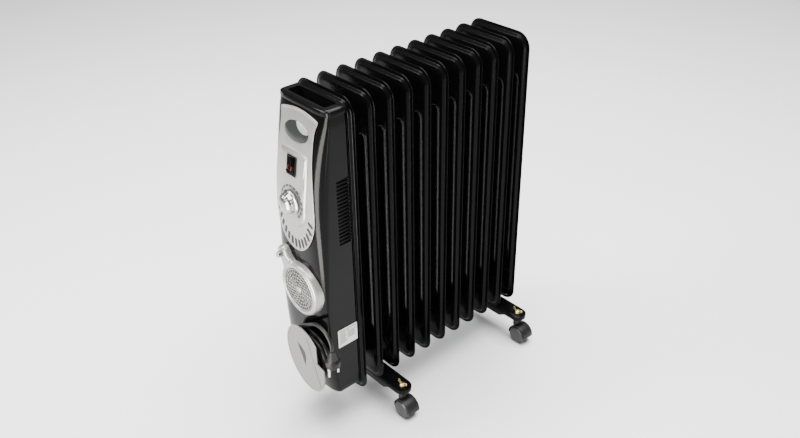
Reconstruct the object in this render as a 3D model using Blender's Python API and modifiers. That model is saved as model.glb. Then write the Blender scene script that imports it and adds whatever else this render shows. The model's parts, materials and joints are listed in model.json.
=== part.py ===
"""Oil filled radiator heater: eleven pressed fins on two header tubes, a control box with a
thermostat, two heat switches and a fan heater, a cord reel, and two foot brackets on castors.

Metres, +Z up. X runs across the fins, Y along the row of fins with the control box at -Y.
The origin is on the floor under the middle of the heater."""

import math

import bmesh
import bpy
from mathutils import Matrix, Vector

# ---------------------------------------------------------------- driving dimensions
GAP = 0.0003                    # between pieces that touch

FIN_COUNT = 11
FIN_PITCH = 0.0396
FIN_WIDTH = 0.145
FIN_HEIGHT = 0.580
FIN_CORNER_R = 0.028
FIN_SHEET = 0.0018              # the flat welded seam all round
FIN_SEAM = 0.011                # width of that seam
FIN_DEPTH = 0.0110              # over the pressed oil channels
FIN_BOTTOM_Z = 0.0635
HEADER_R = 0.0240               # oil headers, top and bottom
HEADER_BORE_R = 0.0165
HEADER_INSET = 0.052            # header centre from the fin's end
HEADER_SHOULDER = 0.0065        # front header face to the first fin's middle
END_CAP = 0.0090                # closed face of the last fin's headers

BOX_WIDTH = 0.126
BOX_BOTTOM_Z = 0.0825
BOX_SEAM_Z = 0.6230             # where the top cap starts
BOX_TOP_Z = 0.6345
BOX_DEPTH = 0.0745              # fin 1's middle to the face's middle
BOX_WALL = 0.0025
FACE_COLUMNS = (0.0, 0.25, 0.45, 0.60, 0.70, 0.80, 0.88, 0.94, 0.98)  # parts of half the width
SIDE_PEAK_Z = 0.2585             # the flat sides reach furthest forward here
SIDE_PEAK = 0.0650
SIDE_TOP_DROP = 0.0270          # how much less far they reach at the cap's seam
SIDE_BOTTOM_DROP = 0.0150       # and at the bottom
SIDE_CURVE = 1.2
LEAN_START_Z = 0.4335            # the face leans back above this
LEAN_TOP = 0.0290               # set-back at the cap's seam
TUCK_START_Z = 0.2235            # and tucks in below this
TUCK_BOTTOM = 0.0135            # set-back at the bottom
BOX_EDGE_R = 0.0120             # rounding under the box and on the cap

BACK_PLATE = 0.0015
LOUVRE_COUNT = 18
LOUVRE_PITCH = 0.0067
LOUVRE_SLOT = 0.0028
LOUVRE_BOTTOM_Z = 0.3950
LOUVRE_FRONT = 0.0345           # slot ends, measured from fin 1's middle
LOUVRE_BACK = 0.0105

GRIP_WIDTH = 0.096              # hand recess in the cap
GRIP_FRONT = 0.0360
GRIP_BACK = 0.0115
GRIP_DEPTH = 0.0300
GRIP_WALL = 0.0022

PANEL_PROUD = 0.0030
PANEL_TOP_Z = 0.6215
PANEL_SHOULDER_Z = 0.6115
PANEL_SHOULDER = 0.0465         # half widths
PANEL_WAIST_Z = 0.5915
PANEL_WAIST = 0.0420
PANEL_BELLY_Z = 0.4515
PANEL_BELLY = 0.0500
PANEL_BOTTOM_Z = 0.3785
WINDOW_MARGIN = 0.0100          # panel edge to the box's window behind it
TONGUE_PROUD = 0.0016
TONGUE_HALF = 0.0340
TONGUE_TOP_Z = 0.5555
TONGUE_BOTTOM_Z = 0.4225
BADGE_Z = 0.5865
BADGE_HALF_W = 0.0300
BADGE_HALF_H = 0.0155
BADGE_THICK = 0.0018
VENT_COUNT = 12
VENT_WIDTH = 0.0036
VENT_LENGTH = 0.0135
VENT_MARGIN = 0.0065            # panel edge to slot end

SWITCH_Z = 0.5325
SWITCH_WIDTH = 0.0230
SWITCH_HEIGHT = 0.0330
SWITCH_BODY = 0.0170            # depth behind the panel
SWITCH_FLANGE = 0.0016          # bezel in front of the panel
SWITCH_RIM = 0.0020
ROCKER_CLEAR = 0.0005
ROCKER_TILT = 12.0              # degrees either side of level
ROCKER_PIVOT = 0.0036           # behind the panel face

KNOB_Z = 0.4695
KNOB_R = 0.0215
KNOB_HEIGHT = 0.0170
KNOB_CLEAR = 0.0010             # knob skirt to the panel
SHAFT_R = 0.0030
SHAFT_CLEAR = 0.0008
THERMOSTAT_SIZE = 0.0260
THERMOSTAT_DEPTH = 0.0180

FAN_X = 0.0085
FAN_Z = 0.3040
FAN_R = 0.0490
FAN_FRONT = BOX_DEPTH + 0.0120  # front plane, from fin 1's middle
FAN_SEAT = BOX_DEPTH - 0.0195   # its rim reaches back this far before the face cuts it
BUTTON_FLOOR = FAN_FRONT - 0.0100
FAN_BORE_R = 0.0385
FAN_EAR_X = -0.0330
FAN_EAR_Z = 0.3575
FAN_EAR_R = 0.0150
FAN_INLET_R = 0.0365            # hole in the box behind the fan
GRILLE_THICK = 0.0022
GRILLE_RINGS = (0.0125, 0.0225, 0.0330)
GRILLE_SLOT = 0.0032
BUTTON_R = 0.0050
BUTTON_PROUD = 0.0080
BUTTON_TRAVEL = 0.0030
BUTTON_CLEAR = 0.0004
IMPELLER_R = 0.0345
IMPELLER_HUB_R = 0.0095
IMPELLER_DEPTH = 0.0100
IMPELLER_FRONT = BOX_DEPTH - 0.0025
IMPELLER_BLADES = 7
MOTOR_R = 0.0170
PTC_SIZE = 0.0480
PTC_THICK = 0.0045
PTC_FRONT = FAN_FRONT - 0.0050

REEL_X = 0.0280
REEL_Z = 0.1735
REEL_BASE_R = 0.0350
REEL_BASE_FRONT = BOX_DEPTH + GAP
REEL_HUB_R = 0.0275
REEL_PLATE_R = 0.0625
REEL_PLATE_THICK = 0.0026
REEL_SEAT = BOX_DEPTH - 0.0295
REEL_PLATE_AT = BOX_DEPTH + 0.0225          # plate middle, from fin 1's middle
REEL_PLATE_TURN = 6.0           # degrees, right edge forward
REEL_NOTCH_X = 0.0400           # cut for the plug, from the reel's axis
REEL_NOTCH_Z = 0.0130

CORD_D = 0.0070
CORD_TURNS = 2.5                # turns in each of the two rows
CORD_BEND_R = 0.0317            # innermost turn
CORD_ROWS = 2
TAIL_LEAVE = 123.0              # degrees round the reel where the tail leaves the coil
TAIL_RISE = 0.0562
TAIL_BEND_R = 0.0310
LEAD_LEAVE = 228.0
LEAD_RUN = 0.0170
GLAND_LENGTH = 0.0250
GLAND_R = 0.0062
GLAND_BOSS_R = 0.0085
PLUG_R = 0.0130
PLUG_LENGTH = 0.0310
PIN_R = 0.0024
PIN_LENGTH = 0.0190
PIN_SPACING = 0.0190

LABEL_WIDTH = 0.0415
LABEL_HEIGHT = 0.0370
LABEL_THICK = 0.0006
LABEL_Z = 0.2085
LABEL_AT = 0.0300               # label middle, from fin 1's middle

BRACKET_FINS = (1, 9)           # a bracket sits behind each of these fins, counted from 0
BRACKET_WIDTH = 0.0340
BRACKET_REACH = 0.1025          # castor stems from the middle
BRACKET_SHEET = 0.0020
BRACKET_TOP_Z = 0.0625
BRACKET_FLANGE = 0.0080         # flange depth at the ends
BRACKET_BELLY = 0.0170          # and in the middle
CLAMP_ROD_R = 0.0030
CLAMP_TAIL = 0.0080             # thread below the bracket's top
HEADER_CLEAR = 0.0006

WHEEL_R = 0.0180
WHEEL_WIDTH = 0.0120            # each of the twin wheels
WHEEL_EDGE_R = 0.0040
WHEEL_WEB = 0.0070              # fork between the twin wheels
WHEEL_CLEAR = 0.0006
AXLE_R = 0.0025
CASTOR_TRAIL = 0.0110
HOOD_WALL = 0.0018
STEM_R = 0.0040
STEM_SEAT_R = 0.0080
STEM_CLEAR = 0.0003
NUT_R = 0.0062
NUT_HEIGHT = 0.0055
WING_SPAN = 0.0110
WING_THICK = 0.0020

OIL_PLUG_R = 0.0100
OIL_PLUG_PROUD = 0.0060
ELEMENT_R = 0.0038
ELEMENT_SPACING = 0.0140
ELEMENT_LENGTH = 0.3300
ELEMENT_HEX_R = 0.0190
ELEMENT_HEX = 0.0060

# ---------------------------------------------------------------- worked out from them
PLATE_LEAN = REEL_PLATE_R * math.sin(math.radians(REEL_PLATE_TURN))
FRONT_REACH = REEL_PLATE_AT + PLATE_LEAN + REEL_PLATE_THICK / 2
LAST_FIN = (FIN_COUNT - 1) * FIN_PITCH
REAR_REACH = LAST_FIN + END_CAP + GAP + OIL_PLUG_PROUD
FIN_1_Y = (FRONT_REACH - REAR_REACH) / 2
FIN_TOP_Z = FIN_BOTTOM_Z + FIN_HEIGHT
HEADERS_Z = (FIN_BOTTOM_Z + HEADER_INSET, FIN_TOP_Z - HEADER_INSET)
PLATE_Y = FIN_1_Y - HEADER_SHOULDER - GAP       # back plate, rear side
BOX_BACK_Y = PLATE_Y - BACK_PLATE - GAP
COIL_OUTER_R = CORD_BEND_R + CORD_TURNS * CORD_D
COIL_Y = FIN_1_Y - REEL_BASE_FRONT - GAP - CORD_ROWS * CORD_D / 2 - GAP
AXLE_Z = WHEEL_R


def ahead(distance):
    """The Y of something this far before fin 1's middle."""
    return FIN_1_Y - distance


# ---------------------------------------------------------------- scene, materials, helpers
for stale in list(bpy.data.objects):
    bpy.data.objects.remove(stale, do_unlink=True)

parts = bpy.data.collections.new("oil_radiator_heater")
cutters = bpy.data.collections.new("cutters")
bpy.context.scene.collection.children.link(parts)
bpy.context.scene.collection.children.link(cutters)


def material(name, colour, roughness, metallic=0.0):
    made = bpy.data.materials.new(name)
    made.use_nodes = True
    shader = made.node_tree.nodes["Principled BSDF"]
    shader.inputs["Base Color"].default_value = (*colour, 1.0)
    shader.inputs["Roughness"].default_value = roughness
    shader.inputs["Metallic"].default_value = metallic
    made.diffuse_color = (*colour, 1.0)
    return made


BLACK_ENAMEL = material("black enamel", (0.010, 0.010, 0.011), 0.22)
BLACK_GLOSS = material("black gloss plastic", (0.012, 0.011, 0.011), 0.15)
BLACK_MATT = material("black matt plastic", (0.020, 0.020, 0.021), 0.5)
SILVER = material("silver lacquered plastic", (0.62, 0.62, 0.60), 0.30, 0.35)
CHROME = material("chrome", (0.75, 0.75, 0.75), 0.10, 1.0)
STEEL = material("zinc plated steel", (0.55, 0.54, 0.50), 0.32, 1.0)
BRASS = material("brass", (0.72, 0.52, 0.22), 0.30, 1.0)
DARK_LENS = material("dark lens", (0.045, 0.047, 0.045), 0.12)
WHITE_FILM = material("white film", (0.75, 0.75, 0.73), 0.45)
RUBBER = material("black rubber", (0.015, 0.015, 0.015), 0.6)


def helper(obj):
    """Keeps a cutter or a guide out of renders."""
    for held in list(obj.users_collection):
        held.objects.unlink(obj)
    cutters.objects.link(obj)
    obj.hide_render = True
    obj.display_type = "WIRE"
    return obj


def smooth(obj, angle=35.0):
    obj.data.shade_smooth()
    obj.data.set_sharp_from_angle(angle=math.radians(angle))


def add(name, mesh, coat, origin=(0.0, 0.0, 0.0)):
    """A part from a mesh whose points are in world coordinates, with its origin moved to origin."""
    obj = bpy.data.objects.new(name, mesh)
    parts.objects.link(obj)
    mesh.transform(Matrix.Translation(-Vector(origin)))
    obj.location = origin
    mesh.materials.clear()
    mesh.materials.append(coat)
    return obj


def from_bmesh(name, bm, coat=BLACK_MATT, origin=(0.0, 0.0, 0.0)):
    bmesh.ops.recalc_face_normals(bm, faces=bm.faces)
    mesh = bpy.data.meshes.new(name)
    bm.to_mesh(mesh)
    bm.free()
    return add(name, mesh, coat, origin)


def block(name, low, high, coat=BLACK_MATT, edge=0.0, steps=2):
    """A box between two corners, with rounded edges if edge is given."""
    bm = bmesh.new()
    bmesh.ops.create_cube(bm, size=1.0)
    low, high = Vector(low), Vector(high)
    for corner in bm.verts:
        corner.co = Vector((low[i] + (corner.co[i] + 0.5) * (high[i] - low[i]) for i in range(3)))
    obj = from_bmesh(name, bm, coat)
    if edge:
        rounding = obj.modifiers.new("edge", "BEVEL")
        rounding.width = edge
        rounding.segments = steps
    return obj


def rod(name, start, end, radius, coat=BLACK_MATT, sides=24, radius_end=None):
    """A straight round bar, or a cone, from start to end."""
    start, end = Vector(start), Vector(end)
    bm = bmesh.new()
    bmesh.ops.create_cone(
        bm, cap_ends=True, segments=sides, radius1=radius,
        radius2=radius if radius_end is None else radius_end, depth=(end - start).length,
    )
    turn = Vector((0, 0, 1)).rotation_difference(end - start).to_matrix().to_4x4()
    bm.transform(Matrix.Translation((start + end) / 2) @ turn)
    return from_bmesh(name, bm, coat)


def baked(obj):
    """The object as its modifiers leave it, as plain mesh in the same place."""
    graph = bpy.context.evaluated_depsgraph_get()
    mesh = bpy.data.meshes.new_from_object(obj.evaluated_get(graph))
    mesh.transform(obj.matrix_world)
    bm = bmesh.new()
    bm.from_mesh(mesh)
    bmesh.ops.remove_doubles(bm, verts=bm.verts, dist=1e-6)
    bm.to_mesh(mesh)
    bm.free()
    name = obj.name
    coat = obj.data.materials[0] if obj.data.materials else BLACK_MATT
    bpy.data.objects.remove(obj, do_unlink=True)
    return add(name, mesh, coat)


def turned(name, profile, centre, axis, coat=BLACK_MATT, sides=32):
    """A turned piece. The profile is (radius, distance along the axis), top to bottom outside."""
    mesh = bpy.data.meshes.new(name)
    mesh.from_pydata([(r, 0.0, h) for r, h in profile],
                     [(i, i + 1) for i in range(len(profile) - 1)], [])
    obj = bpy.data.objects.new(name, mesh)
    parts.objects.link(obj)
    obj.data.materials.append(coat)
    screw = obj.modifiers.new("turn", "SCREW")
    screw.steps = screw.render_steps = sides
    screw.use_merge_vertices = True
    screw.merge_threshold = 0.00005
    turn = Vector((0, 0, 1)).rotation_difference(Vector(axis)).to_matrix().to_4x4()
    obj.matrix_world = Matrix.Translation(Vector(centre)) @ turn
    bpy.context.view_layer.update()
    obj = baked(obj)
    smooth(obj)
    return obj


def prism(name, outline, plane, near, far, coat=BLACK_MATT, holes=()):
    """A flat outline given thickness along the axis that plane leaves out: "XZ" or "XY" or "YZ"."""
    curve = bpy.data.curves.new(name, "CURVE")
    curve.dimensions = "2D"
    curve.fill_mode = "BOTH"
    curve.extrude = abs(far - near) / 2
    for ring in (outline, *holes):
        spline = curve.splines.new("POLY")
        spline.points.add(len(ring) - 1)
        for point, (u, v) in zip(spline.points, ring):
            point.co = (u, v, 0.0, 1.0)
        spline.use_cyclic_u = True
    obj = bpy.data.objects.new(name, curve)
    parts.objects.link(obj)
    curve.materials.append(coat)
    middle = (near + far) / 2
    frames = {
        "XY": Matrix.Translation((0, 0, middle)),
        "XZ": Matrix(((1, 0, 0, 0), (0, 0, -1, middle), (0, 1, 0, 0), (0, 0, 0, 1))),
        "YZ": Matrix(((0, 0, 1, middle), (1, 0, 0, 0), (0, 1, 0, 0), (0, 0, 0, 1))),
    }
    obj.matrix_world = frames[plane]
    bpy.context.view_layer.update()
    return baked(obj)


def boolean(obj, other, operation="DIFFERENCE"):
    """Cuts, joins or keeps the common part, and leaves the other object as a helper."""
    helper(other)
    step = obj.modifiers.new(operation.lower(), "BOOLEAN")
    step.operation = operation
    step.object = other
    return obj


def set_origin(obj, point):
    """Moves the origin of an object that stands unturned, without moving its shape."""
    shift = Vector(point) - obj.location
    obj.data.transform(Matrix.Translation(-shift))
    obj.location = Vector(point)
    return obj


def arc(cx, cy, radius, start, end, steps, radius_y=None):
    """Points round a circle or an ellipse, in degrees, both ends included."""
    tall = radius if radius_y is None else radius_y
    return [
        (cx + radius * math.cos(math.radians(start + (end - start) * i / steps)),
         cy + tall * math.sin(math.radians(start + (end - start) * i / steps)))
        for i in range(steps + 1)
    ]


def heading(angle):
    """The unit vector at this angle in degrees."""
    turn = math.radians(angle)
    return Vector((math.cos(turn), math.sin(turn)))


def circle(cx, cy, radius, sides):
    return arc(cx, cy, radius, 0.0, 360.0, sides)[:-1]


def rounded_rectangle(x0, y0, x1, y1, radius, steps=5):
    return (
        arc(x1 - radius, y1 - radius, radius, 0, 90, steps)
        + arc(x0 + radius, y1 - radius, radius, 90, 180, steps)
        + arc(x0 + radius, y0 + radius, radius, 180, 270, steps)
        + arc(x1 - radius, y0 + radius, radius, 270, 360, steps)
    )


# ---------------------------------------------------------------- fins and oil circuit
def fin(index):
    """One pressed fin: flat seam, raised oil body, and a header collar at each end."""
    y = FIN_1_Y + index * FIN_PITCH
    half = FIN_WIDTH / 2
    seam = prism(
        f"fin_{index + 1:02d}",
        rounded_rectangle(-half, FIN_BOTTOM_Z, half, FIN_TOP_Z, FIN_CORNER_R, 3),
        "XZ", y - FIN_SHEET / 2, y + FIN_SHEET / 2, BLACK_ENAMEL,
    )
    inner = half - FIN_SEAM
    body = prism(
        f"fin_body_{index + 1}",
        rounded_rectangle(-inner, FIN_BOTTOM_Z + FIN_SEAM, inner, FIN_TOP_Z - FIN_SEAM,
                          FIN_CORNER_R - FIN_SEAM / 2, 3),
        "XZ", y - FIN_DEPTH / 2, y + FIN_DEPTH / 2, BLACK_ENAMEL,
    )
    boolean(seam, body, "UNION")
    first, last = index == 0, index == FIN_COUNT - 1
    front = y - (HEADER_SHOULDER if first else (FIN_PITCH - GAP) / 2)
    back = y + (END_CAP if last else (FIN_PITCH - GAP) / 2)
    for row, z in zip(("bottom", "top"), HEADERS_Z):
        collar = rod(f"collar_{row}_{index + 1}", (0, front, z), (0, back, z), HEADER_R, sides=16)
        boolean(seam, collar, "UNION")
    for row, z in zip(("bottom", "top"), HEADERS_Z):
        bored = first and row == "top"
        start = y - FIN_DEPTH / 2 + GAP if bored else front - FIN_DEPTH
        end = y if last else back + FIN_DEPTH
        bore = rod(f"bore_{row}_{index + 1}", (0, start, z), (0, end, z), HEADER_BORE_R, sides=12)
        boolean(seam, bore)
    return seam


for number in range(FIN_COUNT):
    fin(number)

# Immersion element: a hairpin in the bottom header, screwed in from the front.
element_front = ahead(HEADER_SHOULDER) - GAP
pin_x = ELEMENT_SPACING / 2
hairpin = [(-pin_x, element_front), (-pin_x, element_front + ELEMENT_LENGTH)]
hairpin += [(x, element_front + ELEMENT_LENGTH + y)
            for x, y in arc(0, 0, pin_x, 180, 0, 8)][1:-1]
hairpin += [(pin_x, element_front + ELEMENT_LENGTH), (pin_x, element_front)]


def tube(name, points, radius, coat, resolution=2):
    """A round tube along points, with closed ends."""
    curve = bpy.data.curves.new(name, "CURVE")
    curve.dimensions = "3D"
    curve.bevel_depth = radius
    curve.bevel_resolution = resolution
    curve.use_fill_caps = True
    spline = curve.splines.new("POLY")
    spline.points.add(len(points) - 1)
    for point, place in zip(spline.points, points):
        point.co = (*place, 1.0)
    obj = bpy.data.objects.new(name, curve)
    parts.objects.link(obj)
    curve.materials.append(coat)
    return obj


element = tube("heating_element", [(x, y, HEADERS_Z[0]) for x, y in hairpin], ELEMENT_R, STEEL)
flange = rod("element_flange", (0, element_front - ELEMENT_HEX, HEADERS_Z[0]),
             (0, element_front - GAP, HEADERS_Z[0]), ELEMENT_HEX_R, BRASS, sides=6)
last_y = FIN_1_Y + LAST_FIN + END_CAP + GAP
rod("oil_filler_plug", (0, last_y, HEADERS_Z[1]),
               (0, last_y + OIL_PLUG_PROUD, HEADERS_Z[1]), OIL_PLUG_R, STEEL, sides=6)


# ---------------------------------------------------------------- control box
def set_back(z):
    """How far the face stands behind its foremost line at this height."""
    lean = max(0.0, z - LEAN_START_Z) / (BOX_SEAM_Z - LEAN_START_Z)
    tuck = max(0.0, TUCK_START_Z - z) / (TUCK_START_Z - BOX_BOTTOM_Z)
    return LEAN_TOP * lean ** 2 + TUCK_BOTTOM * tuck ** 2


def side_reach(z):
    """How far before fin 1 the flat sides reach at this height."""
    rise = max(0.0, z - SIDE_PEAK_Z) / (BOX_SEAM_Z - SIDE_PEAK_Z)
    fall = max(0.0, SIDE_PEAK_Z - z) / (SIDE_PEAK_Z - BOX_BOTTOM_Z)
    return SIDE_PEAK - SIDE_TOP_DROP * rise ** SIDE_CURVE - SIDE_BOTTOM_DROP * fall ** SIDE_CURVE


def face_y(x, z, proud=0.0):
    """The face's Y at a point, or that of a surface standing this far before it."""
    side = side_reach(z)
    rounding = math.sqrt(max(0.0, 1.0 - abs(2 * x / BOX_WIDTH) ** 4))
    return ahead(side + (BOX_DEPTH - set_back(z) - side) * rounding + proud)


def section(z, grow=0.0, back=BOX_BACK_Y):
    """The box's outline at a height, from its back right corner round the face to its back left."""
    half = BOX_WIDTH / 2
    right = [(half + grow, back), (half + grow, face_y(half, z))]
    right += [(half * u + grow * u, face_y(half * u, z, grow)) for u in reversed(FACE_COLUMNS[1:])]
    left = [(-x, y) for x, y in reversed(right)]
    return right + [(0.0, face_y(0.0, z, grow))] + left


def rows(low, high):
    """Heights for the loft: close where the face curves, wide where it is straight."""
    inside = [LEAN_START_Z + (BOX_SEAM_Z - LEAN_START_Z) * k / 5 for k in range(6)]
    inside.append(BOX_BOTTOM_Z + BOX_EDGE_R)
    inside += [SIDE_PEAK_Z + (LEAN_START_Z - SIDE_PEAK_Z) * k / 3 for k in range(3)]
    inside += [BOX_BOTTOM_Z + (TUCK_START_Z - BOX_BOTTOM_Z) * k / 3 for k in range(4)]
    return [low] + sorted(z for z in inside if low + 0.001 < z < high - 0.001) + [high]


def loft(bm, rings):
    """Joins rings of equally many points with quads, and returns the rings' vertices."""
    made = [[bm.verts.new(point) for point in ring] for ring in rings]
    for lower, upper in zip(made, made[1:]):
        for i in range(len(lower) - 1):
            bm.faces.new((lower[i], lower[i + 1], upper[i + 1], upper[i]))
    return made


def solid_box(name, grow, low, high, back=BOX_BACK_Y):
    """The whole box as one closed solid, grown all round: it cuts the backs of what sits on it."""
    bm = bmesh.new()
    made = loft(bm, [[(x, y, z) for x, y in section(z, grow, back)] for z in rows(low, high)])
    bm.faces.new(made[0])
    bm.faces.new(made[-1])
    for lower, upper in zip(made, made[1:]):
        bm.faces.new((lower[0], lower[-1], upper[-1], upper[0]))
    return from_bmesh(name, bm)


def box_shell():
    """The moulded box: open at the back and at the top, with a rounded underside."""
    bm = bmesh.new()
    rings = []
    for step in range(4):
        angle = math.radians(90 * step / 3)
        inset = BOX_EDGE_R * (1 - math.sin(angle))
        z = BOX_BOTTOM_Z + BOX_EDGE_R * (1 - math.cos(angle))
        ring = []
        for x, y in section(z):
            squeeze = (BOX_WIDTH / 2 - inset) / (BOX_WIDTH / 2)
            depth = BOX_BACK_Y - y
            shrink = max(0.0, (depth - inset) / depth) if depth > inset else 0.0
            ring.append((x * squeeze, BOX_BACK_Y - depth * shrink, z))
        rings.append(ring)
    heights = rows(BOX_BOTTOM_Z + BOX_EDGE_R, BOX_SEAM_Z)[1:]
    rings += [[(x, y, z) for x, y in section(z)] for z in heights]
    made = loft(bm, rings)
    bm.faces.new(made[0])
    shell = from_bmesh("box_shell", bm, BLACK_GLOSS)
    wall = shell.modifiers.new("wall", "SOLIDIFY")
    wall.thickness = BOX_WALL
    wall.offset = -1.0
    wall.use_even_offset = True
    return shell


def panel_outline(margin=0.0):
    """The control panel's outline: arched top, flared shoulders, waist, and a round belly."""
    rise = PANEL_TOP_Z - PANEL_SHOULDER_Z
    shoulder = PANEL_SHOULDER - margin
    waist = PANEL_WAIST - margin
    belly = PANEL_BELLY - margin
    right = []
    for k in range(1, 6):
        x = shoulder * k / 5
        right.append((x, PANEL_TOP_Z - margin - rise * (x / shoulder) ** 2 * 0.75))
    right.append((shoulder, PANEL_SHOULDER_Z - margin))
    for k in range(1, 4):
        t = k / 3
        right.append((shoulder + (waist - shoulder) * math.sin(t * math.pi / 2),
                      PANEL_SHOULDER_Z - margin + (PANEL_WAIST_Z - PANEL_SHOULDER_Z) * t))
    for k in range(1, 7):
        t = k / 6
        blend = (1 - math.cos(t * math.pi)) / 2
        right.append((waist + (belly - waist) * blend,
                      PANEL_WAIST_Z + (PANEL_BELLY_Z - PANEL_WAIST_Z) * t))
    right += arc(0, PANEL_BELLY_Z, belly, -9, -81, 8, PANEL_BELLY_Z - PANEL_BOTTOM_Z - margin)
    top = [(0.0, PANEL_TOP_Z - margin)]
    bottom = [(0.0, PANEL_BOTTOM_Z + margin)]
    return top + right + bottom + [(-x, z) for x, z in reversed(right)]


def face_slab(name, near, far, half, low, high):
    """A sheet that follows the face, from near to far before it."""
    bm = bmesh.new()
    right = [BOX_WIDTH / 2 * u for u in FACE_COLUMNS if BOX_WIDTH / 2 * u < half]
    xs = [-x for x in reversed(right[1:])] + right
    outer = loft(bm, [[(x, face_y(x, z, far), z) for x in xs] for z in rows(low, high)])
    inner = loft(bm, [[(x, face_y(x, z, near), z) for x in xs] for z in rows(low, high)])
    for a, b in ((outer[0], inner[0]), (outer[-1], inner[-1]),
                 ([r[0] for r in outer], [r[0] for r in inner]),
                 ([r[-1] for r in outer], [r[-1] for r in inner])):
        for i in range(len(a) - 1):
            bm.faces.new((a[i], a[i + 1], b[i + 1], b[i]))
    return from_bmesh(name, bm)


shell = box_shell()
window_front, window_back = ahead(BOX_DEPTH + 0.02), ahead(0.022)
boolean(shell, prism("panel_window", panel_outline(WINDOW_MARGIN), "XZ", window_front, window_back))
boolean(shell, rod("fan_inlet", (FAN_X, window_front, FAN_Z), (FAN_X, ahead(0.03), FAN_Z),
                   FAN_INLET_R, sides=32))
for number in range(LOUVRE_COUNT):
    z = LOUVRE_BOTTOM_Z + number * LOUVRE_PITCH
    boolean(shell, block(f"louvre_{number}", (-BOX_WIDTH, ahead(LOUVRE_FRONT), z),
                         (BOX_WIDTH, ahead(LOUVRE_BACK), z + LOUVRE_SLOT)))

half = BOX_WIDTH / 2
prism(
    "box_back_plate",
    rounded_rectangle(-half, BOX_BOTTOM_Z - 0.008, half, BOX_SEAM_Z, BOX_EDGE_R),
    "XZ", PLATE_Y - BACK_PLATE, PLATE_Y, BLACK_ENAMEL,
    holes=[circle(0, HEADERS_Z[0], ELEMENT_HEX_R + 0.002, 24)],
)

# Top cap: a lid with a hanging tub for the fingers.
cap_back = BOX_BACK_Y + BACK_PLATE + GAP
bm = bmesh.new()
rings = []
cap_low = BOX_SEAM_Z + GAP
cap_rise = BOX_TOP_Z - cap_low
for step in range(5):
    angle = math.radians(90 * step / 4)
    inset = 0.006 * (1 - math.cos(angle))
    squeeze = (BOX_WIDTH / 2 - inset) / (BOX_WIDTH / 2)
    z = cap_low + (cap_rise - 0.006) * min(1, step) + 0.006 * math.sin(angle) * min(1, step)
    ring = section(BOX_SEAM_Z, 0.0, cap_back)
    depth = [cap_back - y for _, y in ring]
    deepest = max(depth)
    rings.append([(x * squeeze, cap_back - d * (deepest - inset) / deepest, z)
                  for (x, _), d in zip(ring, depth)])
made = loft(bm, rings)
bm.faces.new(made[0])
bm.faces.new(made[-1])
for lower, upper in zip(made, made[1:]):
    bm.faces.new((lower[0], lower[-1], upper[-1], upper[0]))
cap = from_bmesh("top_cap", bm, BLACK_GLOSS)
tub_half = GRIP_WIDTH / 2
tub_front, tub_back = ahead(GRIP_FRONT), ahead(GRIP_BACK)
tub_low = BOX_TOP_Z - GRIP_DEPTH
boolean(cap, block("grip_tub", (-tub_half - GRIP_WALL, tub_front - GRIP_WALL, tub_low - GRIP_WALL),
                   (tub_half + GRIP_WALL, tub_back + GRIP_WALL, BOX_TOP_Z - 0.004)), "UNION")
boolean(cap, block("grip_hollow", (-tub_half, tub_front, tub_low),
                   (tub_half, tub_back, BOX_TOP_Z + 0.01), edge=0.005))

# ---------------------------------------------------------------- control panel
panel = face_slab("control_panel", GAP, PANEL_PROUD, 0.060, PANEL_BOTTOM_Z - 0.01, BOX_SEAM_Z)
panel.data.materials[0] = SILVER
boolean(panel, prism("panel_edge", panel_outline(), "XZ", window_front, window_back), "INTERSECT")
tongue = face_slab("tongue", PANEL_PROUD / 2, PANEL_PROUD + TONGUE_PROUD, 0.045,
                   TONGUE_BOTTOM_Z - 0.01, TONGUE_TOP_Z + 0.01)
boolean(tongue, prism(
    "tongue_edge",
    [(TONGUE_HALF, TONGUE_TOP_Z), (-TONGUE_HALF, TONGUE_TOP_Z)]
    + arc(0, TONGUE_BOTTOM_Z + TONGUE_HALF, TONGUE_HALF, 180, 360, 14),
    "XZ", window_front, window_back), "INTERSECT")
boolean(panel, baked(tongue), "UNION")
badge_seat = prism("badge_seat", arc(0, BADGE_Z, BADGE_HALF_W, 0, 360, 28, BADGE_HALF_H)[:-1],
                   "XZ", window_front, window_back)
boolean(panel, badge_seat)
switch_half = SWITCH_WIDTH / 2
body_half = switch_half - SWITCH_RIM
body_tall = SWITCH_HEIGHT / 2 - SWITCH_RIM
boolean(panel, rod("shaft_hole", (0, window_front, KNOB_Z), (0, window_back, KNOB_Z),
                   SHAFT_R + SHAFT_CLEAR, sides=20))
for number in range(VENT_COUNT):
    angle = math.radians(-172 + 164 * (number + 0.5) / VENT_COUNT)
    tall = PANEL_BELLY_Z - PANEL_BOTTOM_Z
    rim = Vector((PANEL_BELLY * math.cos(angle), PANEL_BELLY_Z + tall * math.sin(angle)))
    normal = Vector((math.cos(angle) / PANEL_BELLY, math.sin(angle) / tall)).normalized()
    long = VENT_LENGTH * (0.75 + 0.25 * abs(math.sin(angle)))
    middle = rim - normal * (VENT_MARGIN + long / 2)
    side = Vector((-normal.y, normal.x))
    corners = [middle + normal * long / 2 * a + side * VENT_WIDTH / 2 * b
               for a, b in ((1, 1), (-1, 1), (-1, -1), (1, -1))]
    boolean(panel, prism(f"vent_{number}", [tuple(c) for c in corners], "XZ",
                         window_front, window_back))

badge = face_slab("panel_badge", GAP, BADGE_THICK, 0.040, BADGE_Z - 0.03, BADGE_Z + 0.03)
badge.data.materials[0] = DARK_LENS
boolean(badge, prism("badge_edge",
                     arc(0, BADGE_Z, BADGE_HALF_W - GAP, 0, 360, 28, BADGE_HALF_H - GAP)[:-1],
                     "XZ", window_front, window_back), "INTERSECT")

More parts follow.
